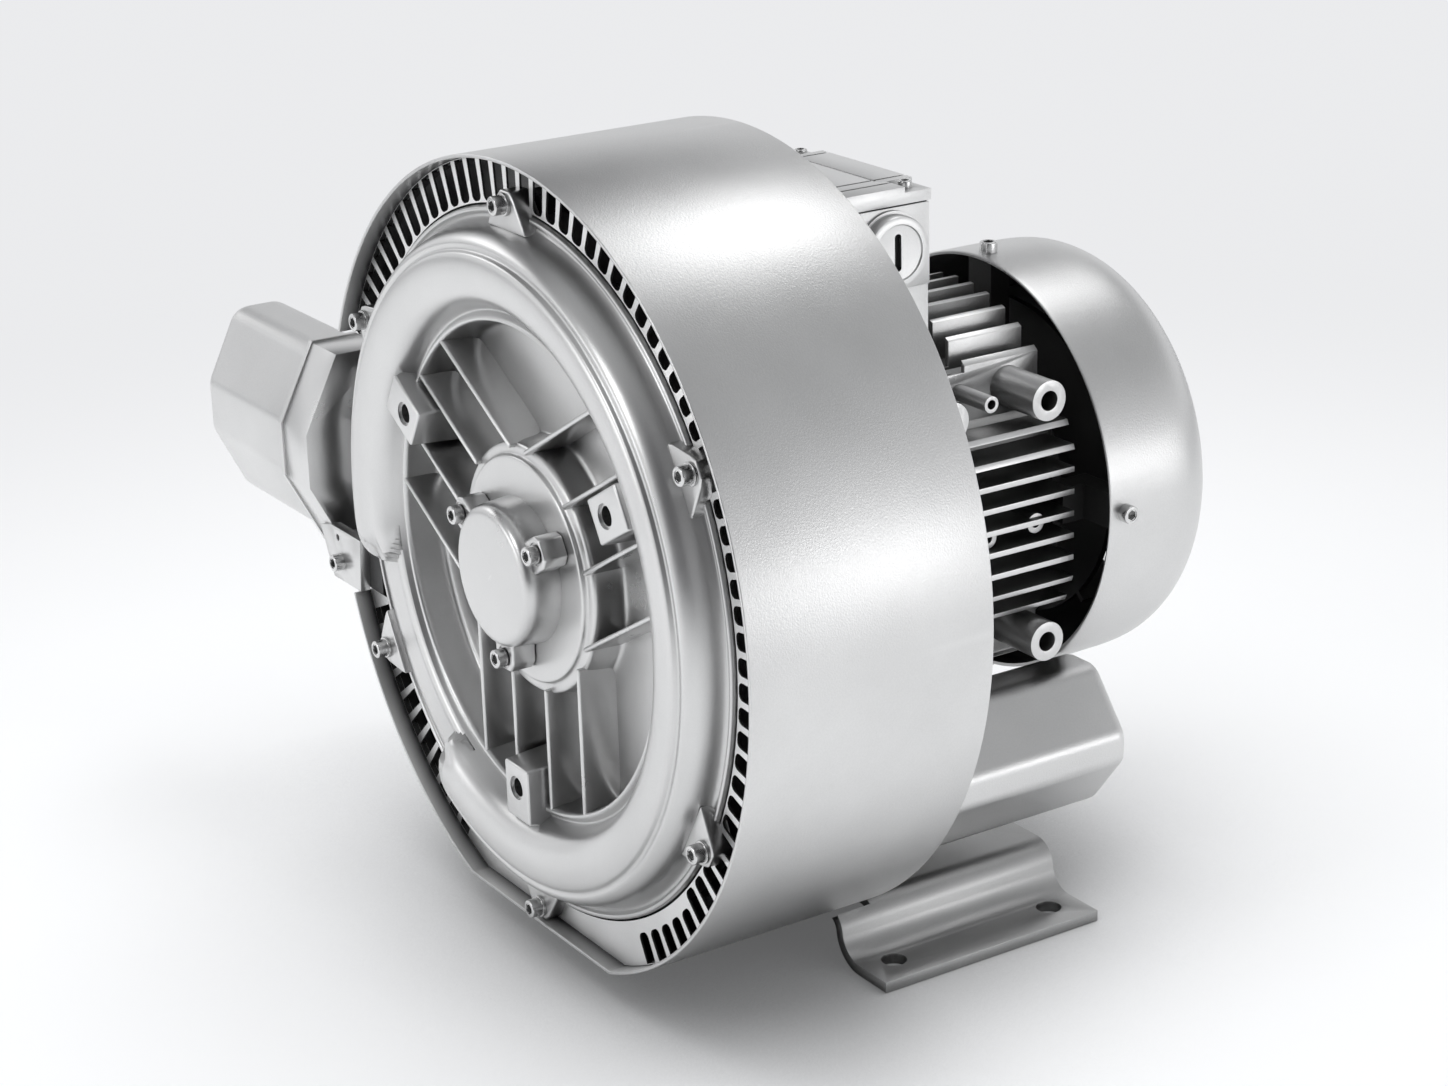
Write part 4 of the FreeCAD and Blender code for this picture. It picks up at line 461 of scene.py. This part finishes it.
cover = {
    "steps": 360,
    # hub, floor of the recess, wall and lip, from the bearing seat outwards
    "inner": [(31, 2), (31, 2), (56, 2), (59.4, 2), (60.2, 2.5), (60.6, 3.8), (61.4, 4.8), (65, 4.9),
              (66.4, 5.4), (67.2, 7), (68, 13), (68.6, 20), (70, 22.4), (76, 22.8), (100, 22.8), (120, 22.8),
              (126, 22.4), (128.6, 20), (129.4, 12), (129.8, 5), (130.2, 2), (131.4, 0.8), (133, 1.2),
              (134.2, 3)],
    # valley, broad face, crease, outer roll and rim lip
    "bulge": [(134.2, 3), (135.6, 4.6), (137.2, 3.4), (138.8, 0), (140.6, -4), (143, -7.4), (146.6, -10.2),
              (152, -12.2), (158, -13.4), (164, -13.4), (167.6, -12.4), (168.4, -11), (169, -9.8),
              (170.4, -9.6), (172.6, -10.4), (175.4, -8.4), (178, -4.6), (180, 1), (181.4, 6), (182.8, 9.2),
              (184.4, 9.6)],
    "flat": [(134.2, 3), (136, 5), (138.4, 5), (140.8, 3.4), (143, 1.2), (145.6, 0.2), (149, 0.4), (151, 2.2),
             (153.5, 3.4), (159, 3.6), (164, 3.6), (168, 3.6), (169.2, 3.6), (169.6, 3.6), (170.4, 3.6),
             (172.6, 3.8), (175.4, 4.4), (178, 5.4), (180, 6.8), (181.4, 8), (182.8, 9.4), (184.4, 9.6)],
    "rim": [(184.4, 9.6), (185.4, 9), (185.8, 7.8), (186.4, 7.4), (187.8, 7.4), (188.3, 7.9), (188.6, 8.8),
            (189, 9.6), (189, 12), (189, 28), (189, 28), (26, 28), (26, 28), (26, 18), (26, 18), (31, 18),
            (31, 18)],
    # angles at which the side channel ends, and how far each rounded nose reaches along the crest
    "crest": 160, "noseStart": 195, "noseEnd": 234, "noseLength": 25,
    "bulgeInside": 139, "bulgeOutside": 182.5, "bulgeBack": 16,
    "families": (270, 30, 150), "ribOffsets": (-52.5, -17.5, 17.5, 52.5), "ribFoot": 4.4, "ribTop": 2.6,
    "ribFront": 1.2, "ribBack": 24, "ribInner": 67, "ribOuter": 130.5, "ribRound": 1.1,
    "padHalf": 12, "padInner": 108, "padOuter": 139, "padFront": -9, "padRound": 1.3, "padHoleAt": 121,
    "padBore": 5.1, "padMouth": 6.6, "padMouthDepth": 1.4, "padSpread": 1.12, "padFootOut": 8, "padFootIn": 2,
    "lugOutline": [(-19, 180), (19, 180), (17, 184), (8, 197), (4.5, 200.3), (-4.5, 200.3), (-8, 197),
                   (-17, 184)],
    "lugAngles": range(30, 390, 60), "lugFront": 2, "lugBack": 14.6, "lugRound": 1, "lugBore": 3.4,
    "lugCircle": 193.5,
}


def lineAt(line, radius):
    for a, b in zip(line, line[1:]):
        if a[0] <= radius <= b[0] and b[0] > a[0]:
            return a[1] + (b[1] - a[1]) * (radius - a[0]) / (b[0] - a[0])
    return None


def makeCoverShell():
    bulge = smoothLine(cover["bulge"], 2)
    flat = smoothLine(cover["flat"], 2)
    inner = smoothLine(cover["inner"], 2)
    rim = smoothLine(cover["rim"], 1)
    piece = spinOutline("coverShell", inner[:-1] + bulge[:-1] + rim, cover["steps"])
    # between its noses the channel leaves a shallow band
    crest, inside, outside = cover["crest"], cover["bulgeInside"], cover["bulgeOutside"]
    turn = math.degrees(cover["noseLength"] / crest)
    middle = (cover["noseStart"] + cover["noseEnd"]) / 2
    for vert in piece.data.vertices:
        x, y, z = vert.co / mm
        radius = math.hypot(x, z)
        if not inside < radius < outside or y > cover["bulgeBack"]:
            continue
        angle = math.degrees(math.atan2(z, x)) % 360
        left = angle - cover["noseStart"] if angle < middle else cover["noseEnd"] - angle
        along = max(left + turn, 0) / turn
        side = outside - crest if radius > crest else crest - inside
        across = abs(radius - crest) / side
        reach = math.sqrt(across * across + along * along)
        low = lineAt(flat, radius)
        if reach >= 1:
            vert.co.y = low * mm
            continue
        if along > 0:
            alike = crest + reach * side * (1 if radius > crest else -1)
            vert.co.y = (low - (lineAt(flat, alike) - lineAt(bulge, alike))) * mm
    return piece


def makeRibs():
    # thin drafted bars from the hub to the wall of the recess
    bars = []
    for offset in cover["ribOffsets"]:
        # both ends run on into the hub and into the wall
        inner = math.sqrt(cover["ribInner"] ** 2 - offset ** 2) - 3
        outer = math.sqrt(cover["ribOuter"] ** 2 - offset ** 2) + 1.5
        bar = addBlock("rib", (offset - cover["ribFoot"] / 2, cover["ribFront"], -outer),
                       (offset + cover["ribFoot"] / 2, cover["ribBack"], -inner))
        startEdit(bar)
        front = cover["ribFront"] * mm
        pickVerts(bar, lambda p: p.y < front + 0.001)
        bpy.ops.transform.resize(value=(cover["ribTop"] / cover["ribFoot"], 1, 1),
                                 center_override=(offset * mm, 0, 0))
        endEdit()
        bars.append(roundEdges(bar, cover["ribRound"], 3))
    return bars


def makePad():
    # threaded pad, drafted, with a slanting foot that runs out on the bulge
    half, front = cover["padHalf"], cover["padFront"]
    inner, outer = cover["padInner"], cover["padOuter"]
    pad = addBlock("pad", (-half, front, -outer), (half, cover["ribBack"], -inner))
    middle = -(inner + outer) / 2 * mm
    startEdit(pad)
    pickVerts(pad, lambda p: p.y > 0)
    bpy.ops.transform.resize(value=(cover["padSpread"], 1, 1), center_override=(0, 0, 0))
    pickVerts(pad, lambda p: p.y > 0 and p.z < middle)
    bpy.ops.transform.translate(value=(0, 0, -cover["padFootOut"] * mm))
    pickVerts(pad, lambda p: p.y > 0 and p.z > middle)
    bpy.ops.transform.translate(value=(0, 0, cover["padFootIn"] * mm))
    endEdit()
    roundEdges(pad, cover["padRound"], 3)
    at = -cover["padHoleAt"]
    cutAway(pad, addRod("bore", cover["padBore"], (0, -20, at), (0, 13, at), 40))
    floor = front + cover["padMouthDepth"]
    cutAway(pad, addRod("mouth", cover["padMouth"], (0, -20, at), (0, floor, at), 40))
    return pad


def makeLug(angle):
    # gusset that carries a cover screw: broad on the roll, narrow at the tip
    plate = raiseOutline("lug", cover["lugOutline"], cover["lugFront"], cover["lugBack"])
    roundEdges(plate, cover["lugRound"], 3)
    at = cover["lugCircle"]
    cutAway(plate, addRod("bore", cover["lugBore"], (0, -5, at), (0, 20, at), 24))
    plate.data.transform(turnAbout("Y", 90 - angle))
    return plate


def makeCover():
    parts = [makeCoverShell()]
    ribs = joinPieces("ribs", makeRibs() + [makePad()])
    for angle in cover["families"]:
        parts.append(copyPiece(ribs, turnAbout("Y", 270 - angle)))
    bpy.data.objects.remove(ribs)
    parts += [makeLug(angle) for angle in cover["lugAngles"]]
    dress(joinPieces("coverCasting", parts), castSilver, "front_cover", angle=32)
    print("front cover made")


makeCover()


# bearing cap

bearingCap = {
    "outline": [(0.01, -18), (20, -18), (31, -18), (34.6, -17.6), (37, -15.6), (38.2, -12), (38.6, -6),
                (39.2, 1), (39.2, 2), (39.2, 2), (28, 2), (28, 2), (28, -12), (28, -12), (0.01, -12)],
    "ear": [(-9, -30), (-9, -48), (-5.5, -52.6), (5.5, -52.6), (9, -48), (9, -30)],
    "earCircle": 45.5, "earFront": -12, "earBack": 2, "earRound": 1.2, "seat": 6.2, "seatDepth": 0.6,
    "bore": 3.3, "angles": (30, 150, 270),
}


def makeBearingCap():
    parts = [spinOutline("capBowl", smoothLine(bearingCap["outline"], 2), 128)]
    at = -bearingCap["earCircle"]
    front = bearingCap["earFront"]
    for angle in bearingCap["angles"]:
        ear = raiseOutline("ear", bearingCap["ear"], front, bearingCap["earBack"])
        roundEdges(ear, bearingCap["earRound"], 3)
        floor = front + bearingCap["seatDepth"]
        cutAway(ear, addRod("seat", bearingCap["seat"], (0, -20, at), (0, floor, at), 32))
        cutAway(ear, addRod("bore", bearingCap["bore"], (0, -20, at), (0, 10, at), 24))
        ear.data.transform(turnAbout("Y", 270 - angle))
        parts.append(ear)
    dress(joinPieces("bearingCapCasting", parts), castSilver, "bearing_cap", angle=32)
    print("bearing cap made")


makeBearingCap()


# shroud and guard ring

shroud = {"radius": 216, "wall": 2, "depth": 142, "flat": -203, "portLow": -74, "portHigh": 84.5,
          "portDepth": 86, "segments": 360, "round": 0.6}


def makeShroud():
    deselectAll()
    bpy.ops.mesh.primitive_circle_add(vertices=shroud["segments"], radius=shroud["radius"] * mm,
                                      rotation=(math.pi / 2, 0, 0))
    piece = bpy.context.object
    piece.name = "shroudSheet"
    bakePlace(piece)
    startEdit(piece)
    pickVerts(piece, lambda p: p.z < shroud["flat"] * mm)
    bpy.ops.transform.resize(value=(1, 1, 0), center_override=(0, 0, shroud["flat"] * mm))
    bpy.ops.mesh.select_all(action="SELECT")
    for length in (shroud["portDepth"], shroud["depth"] - shroud["portDepth"]):
        bpy.ops.mesh.extrude_edges_move(TRANSFORM_OT_translate={"value": (0, length * mm, 0)})
    bpy.ops.mesh.select_all(action="SELECT")
    bpy.ops.mesh.normals_make_consistent(inside=False)
    bpy.ops.mesh.select_mode(type="FACE")
    pickFaces(piece, lambda c, n: c.x < 0 and shroud["portLow"] * mm < c.z < shroud["portHigh"] * mm
              and c.y < shroud["portDepth"] * mm)
    bpy.ops.mesh.delete(type="FACE")
    endEdit()
    applyModifier(piece, "SOLIDIFY", thickness=shroud["wall"] * mm, offset=-1)
    roundEdges(piece, shroud["round"], 3, 50)
    dress(piece, shroudSilver, "shroud", angle=30)
    print("shroud made")


def roundSlot(slot, width, segments, reach):
    # rounds the corners of a slot cutter that lie nearer to the shaft line than the reach
    startEdit(slot, "EDGE")
    mesh = bmesh.from_edit_mesh(slot.data)
    for edge in mesh.edges:
        a, b = (vert.co for vert in edge.verts)
        edge.select = max(a.z, b.z) < reach * mm and abs((a - b).normalized().y) > 0.9
    bmesh.update_edit_mesh(slot.data)
    bpy.ops.mesh.bevel(offset=width * mm, segments=segments, affect="EDGES")
    endEdit()


guard = {
    "outer": 213.7, "inner": 190, "front": 10, "back": 11.2, "rear": 18, "flat": -200.7, "rim": 1,
    "slots": 96, "slotWidth": 9.4, "slotInner": 190.8, "slotOuter": 213.3, "slotRound": 3.4, "flatKeep": 9,
    # the slots at the lower right are shorter
    "slotShort": 197, "shortFrom": 286, "shortTo": 316,
    # way through for the inlet duct, with no slot beside it
    "portLow": -72, "portHigh": 82, "portInner": -175, "portKeep": 6, "portSlots": -190,
}


def makeGuardRing():
    # a thin plate with its rim turned back along the wall of the shroud
    outer, rim = guard["outer"], guard["rim"]
    plate = addRod("guardPlate", outer, (0, guard["front"], 0), (0, guard["rear"], 0), 288)
    hollow = addRod("hollow", outer - rim, (0, guard["back"], 0), (0, guard["rear"] + 5, 0), 288)
    for piece, flat in ((plate, guard["flat"]), (hollow, guard["flat"] + rim)):
        startEdit(piece)
        pickVerts(piece, lambda p: p.z < flat * mm)
        bpy.ops.transform.resize(value=(1, 1, 0), center_override=(0, 0, flat * mm))
        endEdit()
    cutAway(plate, hollow)
    cutAway(plate, addRod("eye", guard["inner"], (0, 0, 0), (0, 40, 0), 288))
    half = guard["slotWidth"] / 2
    low, high, keep = guard["portLow"], guard["portHigh"], guard["portKeep"]
    # inner end rounded, outer end square against the shroud
    cutters = []
    for inner in (guard["slotInner"], guard["slotShort"]):
        slot = addBlock("slot", (-half, guard["front"] - 2, inner),
                        (half, guard["back"] + 2, guard["slotOuter"]))
        roundSlot(slot, guard["slotRound"], 6, inner + 1)
        cutters.append(slot)
    slots = []
    for index in range(guard["slots"]):
        angle = 360 * (index + 0.5) / guard["slots"]
        spot = turnAbout("Y", angle) @ Vector((0, 0, guard["slotOuter"]))
        beside = spot.x < guard["portSlots"] and low - keep < spot.z < high + keep
        if spot.z > guard["flat"] + guard["flatKeep"] and not beside:
            around = math.degrees(math.atan2(spot.z, spot.x)) % 360
            cutter = cutters[1] if guard["shortFrom"] < around < guard["shortTo"] else cutters[0]
            slots.append(copyPiece(cutter, turnAbout("Y", angle)))
    for slot in cutters:
        bpy.data.objects.remove(slot)
    cutAway(plate, joinPieces("slots", slots))
    cutAway(plate, addBlock("portWay", (-230, 0, low), (guard["portInner"], 40, high)))
    dress(plate, ringSteel, "guard_ring", angle=30)
    # painted shade: the slot walls, the turned-back rim and the back of the ring are painted near black
    paintWhere(plate, paintedShadeBlack, lambda c, n: abs(n.y) < 0.5 or n.y > 0)
    print("guard ring made")


makeShroud()
makeGuardRing()


# fan cowl

cowl = {"radius": 120, "wall": 2, "front": 295, "rear": 376, "slots": 20, "slotInner": 26, "slotOuter": 78,
        "slotWidth": 6, "slotRound": 2.9, "screwAt": 305}


def makeCowl():
    rim, wall, front, rear = cowl["radius"], cowl["wall"], cowl["front"], cowl["rear"]
    outer = smoothLine([(rim - 0.6, front), (rim, front + 0.8), (rim, front + 6), (rim, front + 30),
                        (rim - 0.4, rear - 28), (rim - 3, rear - 17), (rim - 9, rear - 7.5),
                        (rim - 18, rear - 1.6), (rim - 30, rear), (70, rear), (30, rear), (0.01, rear)], 2)
    inner = [(0.01, rear - wall), (rim - 31, rear - wall), (rim - 19, rear - 4),
             (rim - 10.5, rear - 9.5), (rim - 5, rear - 18), (rim - 2.4, rear - 29),
             (rim - wall, front + 20), (rim - wall, front + 0.6)]
    piece = spinOutline("cowlShell", outer + inner, 288)
    half = cowl["slotWidth"] / 2
    slot = addBlock("slot", (-half, rear - 12, cowl["slotInner"]), (half, rear + 4, cowl["slotOuter"]))
    roundSlot(slot, cowl["slotRound"], 4, cowl["slotOuter"] + 1)
    count = cowl["slots"]
    slots = [copyPiece(slot, turnAbout("Y", 360 * index / count)) for index in range(count)]
    bpy.data.objects.remove(slot)
    cutAway(piece, joinPieces("slots", slots))
    dress(piece, sheetSilver, "fan_cowl", angle=30)
    # painted shade: the inner wall of the cowl and the inside of its rear end are painted near black
    paintWhere(piece, paintedShadeBlack, lambda c, n: c.y > front + 2 and (
        n.y < -0.5 or (abs(n.y) < 0.95 and n.x * c.x + n.z * c.z < -0.3 * math.hypot(c.x, c.z))))
    print("fan cowl made")


makeCowl()


# motor frame, box, foot and ports

# name of the copy that stands for each node, width of its eased edges, finish
softParts = {
    "motor_frame": ("motorFrameCasting", 0.7, frameSilver),
    "terminal_base": ("terminalBaseCasting", 0.8, boxSilver),
    "foot_bracket": ("footSheet", 0.7, footSteel),
    "inlet_collar": ("inletCollarCasting", 0.9, castSilver),
    "outlet_collar": ("outletCollarCasting", 0.9, castSilver),
    "cover_washers": ("coverWasherSet", 0.35, screwZinc),
}


def makeSoftPart(node):
    name, width, finish = softParts[node]
    dress(refine(node, name, width), finish, node, inPlace=True)


# pressed lines across the lid, near both ends
lid = {"edge": 0.8, "lines": (-45, -35, 35, 45), "lineHalf": 0.9, "lineFrom": 140, "lineTo": 232,
       "lineFloor": 180.6, "lineTop": 184}


def makeLid():
    piece = refine("terminal_lid", "terminalLidCasting", lid["edge"])
    for x in lid["lines"]:
        line = addBlock("line", (x - lid["lineHalf"], lid["lineFrom"], lid["lineFloor"]),
                        (x + lid["lineHalf"], lid["lineTo"], lid["lineTop"]))
        line.location = shaftPlace
        bakePlace(line)
        cutAway(piece, line)
    dress(piece, boxSilver, "terminal_lid", inPlace=True)


# end face of each silencer: the axis it looks along, the middle of the mouth in it and how far that reaches
cans = {
    "inlet_silencer": ("inletSilencerCan", 0, Vector((-375, 30, 0)), 33),
    "outlet_silencer": ("outletSilencerCan", 1, Vector((87, 306, -135)), 28),
}
canRound = {"end": 7, "folds": 1.4}


def makeCan(node):
    name, axis, mouth, reach = cans[node]
    piece = softenEnd(refine(node, name, 0), axis, mouth, reach, canRound["end"])
    dress(roundEdges(piece, canRound["folds"], 3, 20), sheetSilver, node, inPlace=True, angle=40)


makeSoftPart("motor_frame")
makeSoftPart("terminal_base")
makeLid()
makeSoftPart("foot_bracket")
makeCan("inlet_silencer")
makeSoftPart("inlet_collar")
makeCan("outlet_silencer")
makeSoftPart("outlet_collar")
print("motor, box, foot and ports dressed")


# screws

# radius and height of the head, half width of the socket, radius of the shank
screwSizes = {"large": (5, 6, 2.5, 3), "small": (3.6, 4, 1.6, 2)}
# floor of the socket as a share of the height, bowl as a share of the socket
screwShape = {"round": 0.7, "socketFloor": 0.45, "bowl": 1.3, "bowlDepth": 0.35}
screwSeats = {"cover": 0.4, "portEar": (-220, 2, -60), "outlet": (87, 151, -135), "outletPitch": 89,
              "lidTop": 179, "lidHalf": 48, "lidStations": (159, 213)}


def makeScrew(radius, height, socketHalf, shank):
    # socket head standing on its seat at the origin, pointing up
    head = addRod("head", radius, (0, 0, 0), (0, 0, height), 40)
    startEdit(head, "FACE")
    pickFaces(head, lambda c, n: n.z > 0.9)
    bpy.ops.mesh.bevel(offset=screwShape["round"] * mm, segments=3)
    endEdit()
    above = (0, 0, height + 2)
    corner = socketHalf / math.cos(math.radians(30))
    cutAway(head, addRod("socket", corner, (0, 0, height * screwShape["socketFloor"]), above, 6))
    floor = height - screwShape["bowlDepth"]
    cutAway(head, addRod("bowl", socketHalf * screwShape["bowl"], (0, 0, floor), above, 32))
    stem = addRod("stem", shank, (0, 0, -4), (0, 0, 0.5), 20)
    return joinPieces("screw", [head, stem])


def placeScrews(name, node, screw, seats):
    copies = []
    for seat, along in seats:
        turn = Vector(along).to_track_quat("Z", "Y").to_matrix().to_4x4()
        copies.append(copyPiece(screw, Matrix.Translation(Vector(seat) * mm) @ turn))
    dress(joinPieces(name, copies), screwZinc, node)


def ringSeats(circle, station, angles):
    # seats round the shaft line for screws that are put in from the front
    seats = []
    for angle in angles:
        turn = math.radians(angle)
        seats.append(((circle * math.cos(turn), station, circle * math.sin(turn)), (0, -1, 0)))
    return seats


def makeScrews():
    large = makeScrew(*screwSizes["large"])
    placeScrews("coverScrewSet", "cover_screws", large,
                ringSeats(cover["lugCircle"], screwSeats["cover"], cover["lugAngles"]))
    placeScrews("capScrewSet", "cap_screws", large,
                ringSeats(bearingCap["earCircle"], bearingCap["earFront"], bearingCap["angles"]))
    ways = [Vector((x, 0, z)) for x, z in ((1, 0), (0, 1), (-1, 0), (0, -1))]
    placeScrews("cowlScrewSet", "cowl_screws", large,
                [(way * cowl["radius"] + Vector((0, cowl["screwAt"], 0)), way) for way in ways])
    middle, aside = Vector(screwSeats["outlet"]), Vector((screwSeats["outletPitch"] / 2, 0, 0))
    placeScrews("portScrewSet", "port_screws", large,
                [(screwSeats["portEar"], (0, -1, 0)), (middle - aside, (0, 1, 0)),
                 (middle + aside, (0, 1, 0))])
    bpy.data.objects.remove(large)
    small = makeScrew(*screwSizes["small"])
    placeScrews("lidScrewSet", "lid_screws", small,
                [((side * screwSeats["lidHalf"], station, screwSeats["lidTop"]), (0, 0, 1))
                 for side in (-1, 1) for station in screwSeats["lidStations"]])
    bpy.data.objects.remove(small)


makeScrews()
makeSoftPart("cover_washers")
print("screws made")


# blanking plug

plug = {
    "outline": [(0.01, -65), (13.6, -65), (14.6, -65.2), (15.2, -66), (17.6, -66), (18.9, -65.5),
                (19.5, -64.2), (19.5, -59), (16, -59), (16, -50), (0.01, -50)],
    "station": 196, "height": 150, "slotHalf": 2.1, "slotReach": 10, "slotFloor": -61.5, "slotRound": 1.9,
    "shadeWithin": 12.5, "shadeBelow": 64.4,
}


def makePlug():
    # turned cap with a raised rim, a sunk face and one slot, then turned to face right
    head = spinOutline("plugHead", plug["outline"], 96)
    half, reach = plug["slotHalf"], plug["slotReach"]
    slot = addBlock("slot", (-half, -70, -reach), (half, plug["slotFloor"], reach))
    roundEdges(slot, plug["slotRound"], 4)
    cutAway(head, slot)
    middle = Vector((0, plug["station"], plug["height"]))
    head.data.transform(Matrix.Translation(middle * mm) @ turnAbout("Z", 90))
    dress(head, boxSilver, "blanking_plug")
    # painted shade: the slot in the plug's face is painted near black
    paintWhere(head, paintedShadeBlack, lambda c, n: c.x < plug["shadeBelow"] and (
        math.hypot(c.y - middle.y, c.z - middle.z) < plug["shadeWithin"]))
    print("plug made")


makePlug()


# studio

studio = {"azimuth": 57.49, "elevation": 19.79, "distance": 1.6, "lens": 76.41, "roll": -1.64,
          "target": (0.047, -0.1013, 0.2295), "floorSize": 24, "backdrop": (0.83, 0.835, 0.85, 1),
          "floorTones": ((0.92, 0.925, 0.935, 1), (0.95, 0.955, 0.96, 1)),
          "floorMirrored": (0.88, 0.885, 0.89, 1), "horizon": (0.85, 0.855, 0.865, 1),
          "overhead": (0.45, 0.455, 0.46, 1), "flag": (0.12, 0.12, 0.125, 1)}


def makeCamera():
    deselectAll()
    a, e = math.radians(studio["azimuth"]), math.radians(studio["elevation"])
    back = Vector((math.sin(a) * math.cos(e), -math.cos(a) * math.cos(e), math.sin(e)))
    turn = back.to_track_quat("Z", "Y") @ Quaternion((0, 0, 1), math.radians(studio["roll"]))
    bpy.ops.object.camera_add(location=Vector(studio["target"]) + back * studio["distance"])
    camera = bpy.context.object
    camera.name = "photoCamera"
    camera.rotation_euler = turn.to_euler()
    camera.data.lens = studio["lens"]
    camera.data.sensor_width = 36
    camera.data.clip_start = 0.05
    camera.data.clip_end = 60
    bpy.context.scene.camera = camera


def makeFloor():
    # pale floor, plainly lit, that melts into the backdrop far from the machine
    deselectAll()
    bpy.ops.mesh.primitive_plane_add(size=studio["floorSize"], location=(0, 0, -0.0005))
    floor = bpy.context.object
    floor.name = "studioFloor"
    material = bpy.data.materials.new("paleFloor")
    material.use_nodes = True
    tree = material.node_tree
    shader = tree.nodes["Principled BSDF"]
    place = addNode(tree, "TexCoord").outputs["Object"]
    seen = addNode(tree, "LightPath").outputs["Is Camera Ray"]
    cloud = addNode(tree, "TexNoise", {"Vector": place, "Scale": 3}).outputs["Fac"]
    dull = addMix(tree, seen, studio["floorMirrored"], addMix(tree, cloud, *studio["floorTones"]))
    # painted shadow: the floor's colour is darkened under the machine
    paintedShadow = addNode(tree, "AmbientOcclusion", {"Distance": 0.2}, samples=5).outputs["AO"]
    held = addMix(tree, 1, dull, addFade(tree, paintedShadow, 0.25, 0.8, 0.25), "MULTIPLY")
    tree.links.new(held, shader.inputs["Base Color"])
    shader.inputs["Roughness"].default_value = 0.5
    shader.inputs["Specular IOR Level"].default_value = 0.2
    glow = addNode(tree, "Emission", {"Color": studio["backdrop"]}).outputs["Emission"]
    reach = addNode(tree, "VectorMath", {0: place}, operation="LENGTH").outputs["Value"]
    share = addMath(tree, "MULTIPLY", seen, addFade(tree, reach, 0.25, 1.4, 0.12, 1, "SMOOTHSTEP"))
    mix = addNode(tree, "MixShader", {0: share, 1: shader.outputs["BSDF"], 2: glow})
    tree.links.new(mix.outputs["Shader"], tree.nodes["Material Output"].inputs["Surface"])
    floor.data.materials.append(material)


def addPanel(name, place, aim, width, height, power):
    deselectAll()
    bpy.ops.object.light_add(type="AREA", location=place)
    lamp = bpy.context.object
    lamp.name = name
    lamp.data.shape = "RECTANGLE"
    lamp.data.size = width
    lamp.data.size_y = height
    lamp.data.energy = power
    lamp.rotation_euler = (Vector(place) - Vector(aim)).to_track_quat("Z", "Y").to_euler()
    return lamp


def makeWorld():
    # bright round the horizon like a white studio wall, duller overhead
    world = bpy.data.worlds.new("studioWorld")
    bpy.context.scene.world = world
    world.use_nodes = True
    tree = world.node_tree
    place = addNode(tree, "TexCoord").outputs["Generated"]
    parts = addNode(tree, "SeparateXYZ", {"Vector": place}).outputs
    ramp = addNode(tree, "ValToRGB", {"Fac": parts["Z"]})
    low, high = ramp.color_ramp.elements
    low.position, low.color = 0.22, studio["horizon"]
    high.position, high.color = 0.58, studio["overhead"]
    # two dark flags, high up on the left and near on the right, draw the edges of the rolled rims
    upper = addFade(tree, parts["Z"], 0.5, 0.6)
    left = addFade(tree, parts["X"], -0.4, -0.65)
    right = addFade(tree, parts["X"], 0.25, 0.6)
    near = addFade(tree, parts["Y"], 0.1, -0.3)
    flags = addMath(tree, "MULTIPLY_ADD", right, near, addMath(tree, "MULTIPLY", upper, left))
    fill = tree.nodes["Background"]
    fill.inputs["Strength"].default_value = 1
    tree.links.new(addMix(tree, flags, ramp.outputs["Color"], studio["flag"]), fill.inputs["Color"])
    backdrop = addNode(tree, "Background", {"Color": studio["backdrop"], "Strength": 1})
    seen = addNode(tree, "LightPath").outputs["Is Camera Ray"]
    mix = addNode(tree, "MixShader", {0: seen, 1: fill.outputs["Background"],
                                      2: backdrop.outputs["Background"]})
    tree.links.new(mix.outputs["Shader"], tree.nodes["World Output"].inputs["Surface"])


# place, aim, width, height and power of each lamp
panels = {
    "skyPanel": ((-0.35, 0.95, 2.15), (0, -0.1, 0.3), 0.75, 1.1, 5.5),
    "sidePanel": ((2.4, 1.3, 0.3), (0, -0.1, 0.25), 1.8, 0.45, 5),
    "leftPanel": ((-1.65, -0.85, 1.3), (0, -0.2, 0.35), 1.0, 0.6, 2.6),
    "frontPanel": ((-0.9, -2.3, 0.5), (0, -0.2, 0.25), 1.0, 0.6, 2.6),
    "keyPanel": ((0.2, -2.3, 1.9), (0, -0.2, 0.25), 0.9, 0.9, 8),
    "floorPanel": ((0.1, -0.2, 2.8), (0, -0.2, 0), 3.6, 3.2, 66),
}

makeWorld()
makeFloor()
makeCamera()
for name, values in panels.items():
    lamp = addPanel(name, *values)
    lamp.visible_glossy = name != "floorPanel"   # it would fill every upper face with white
bpy.context.scene.view_settings.view_transform = "Standard"
print("studio made")
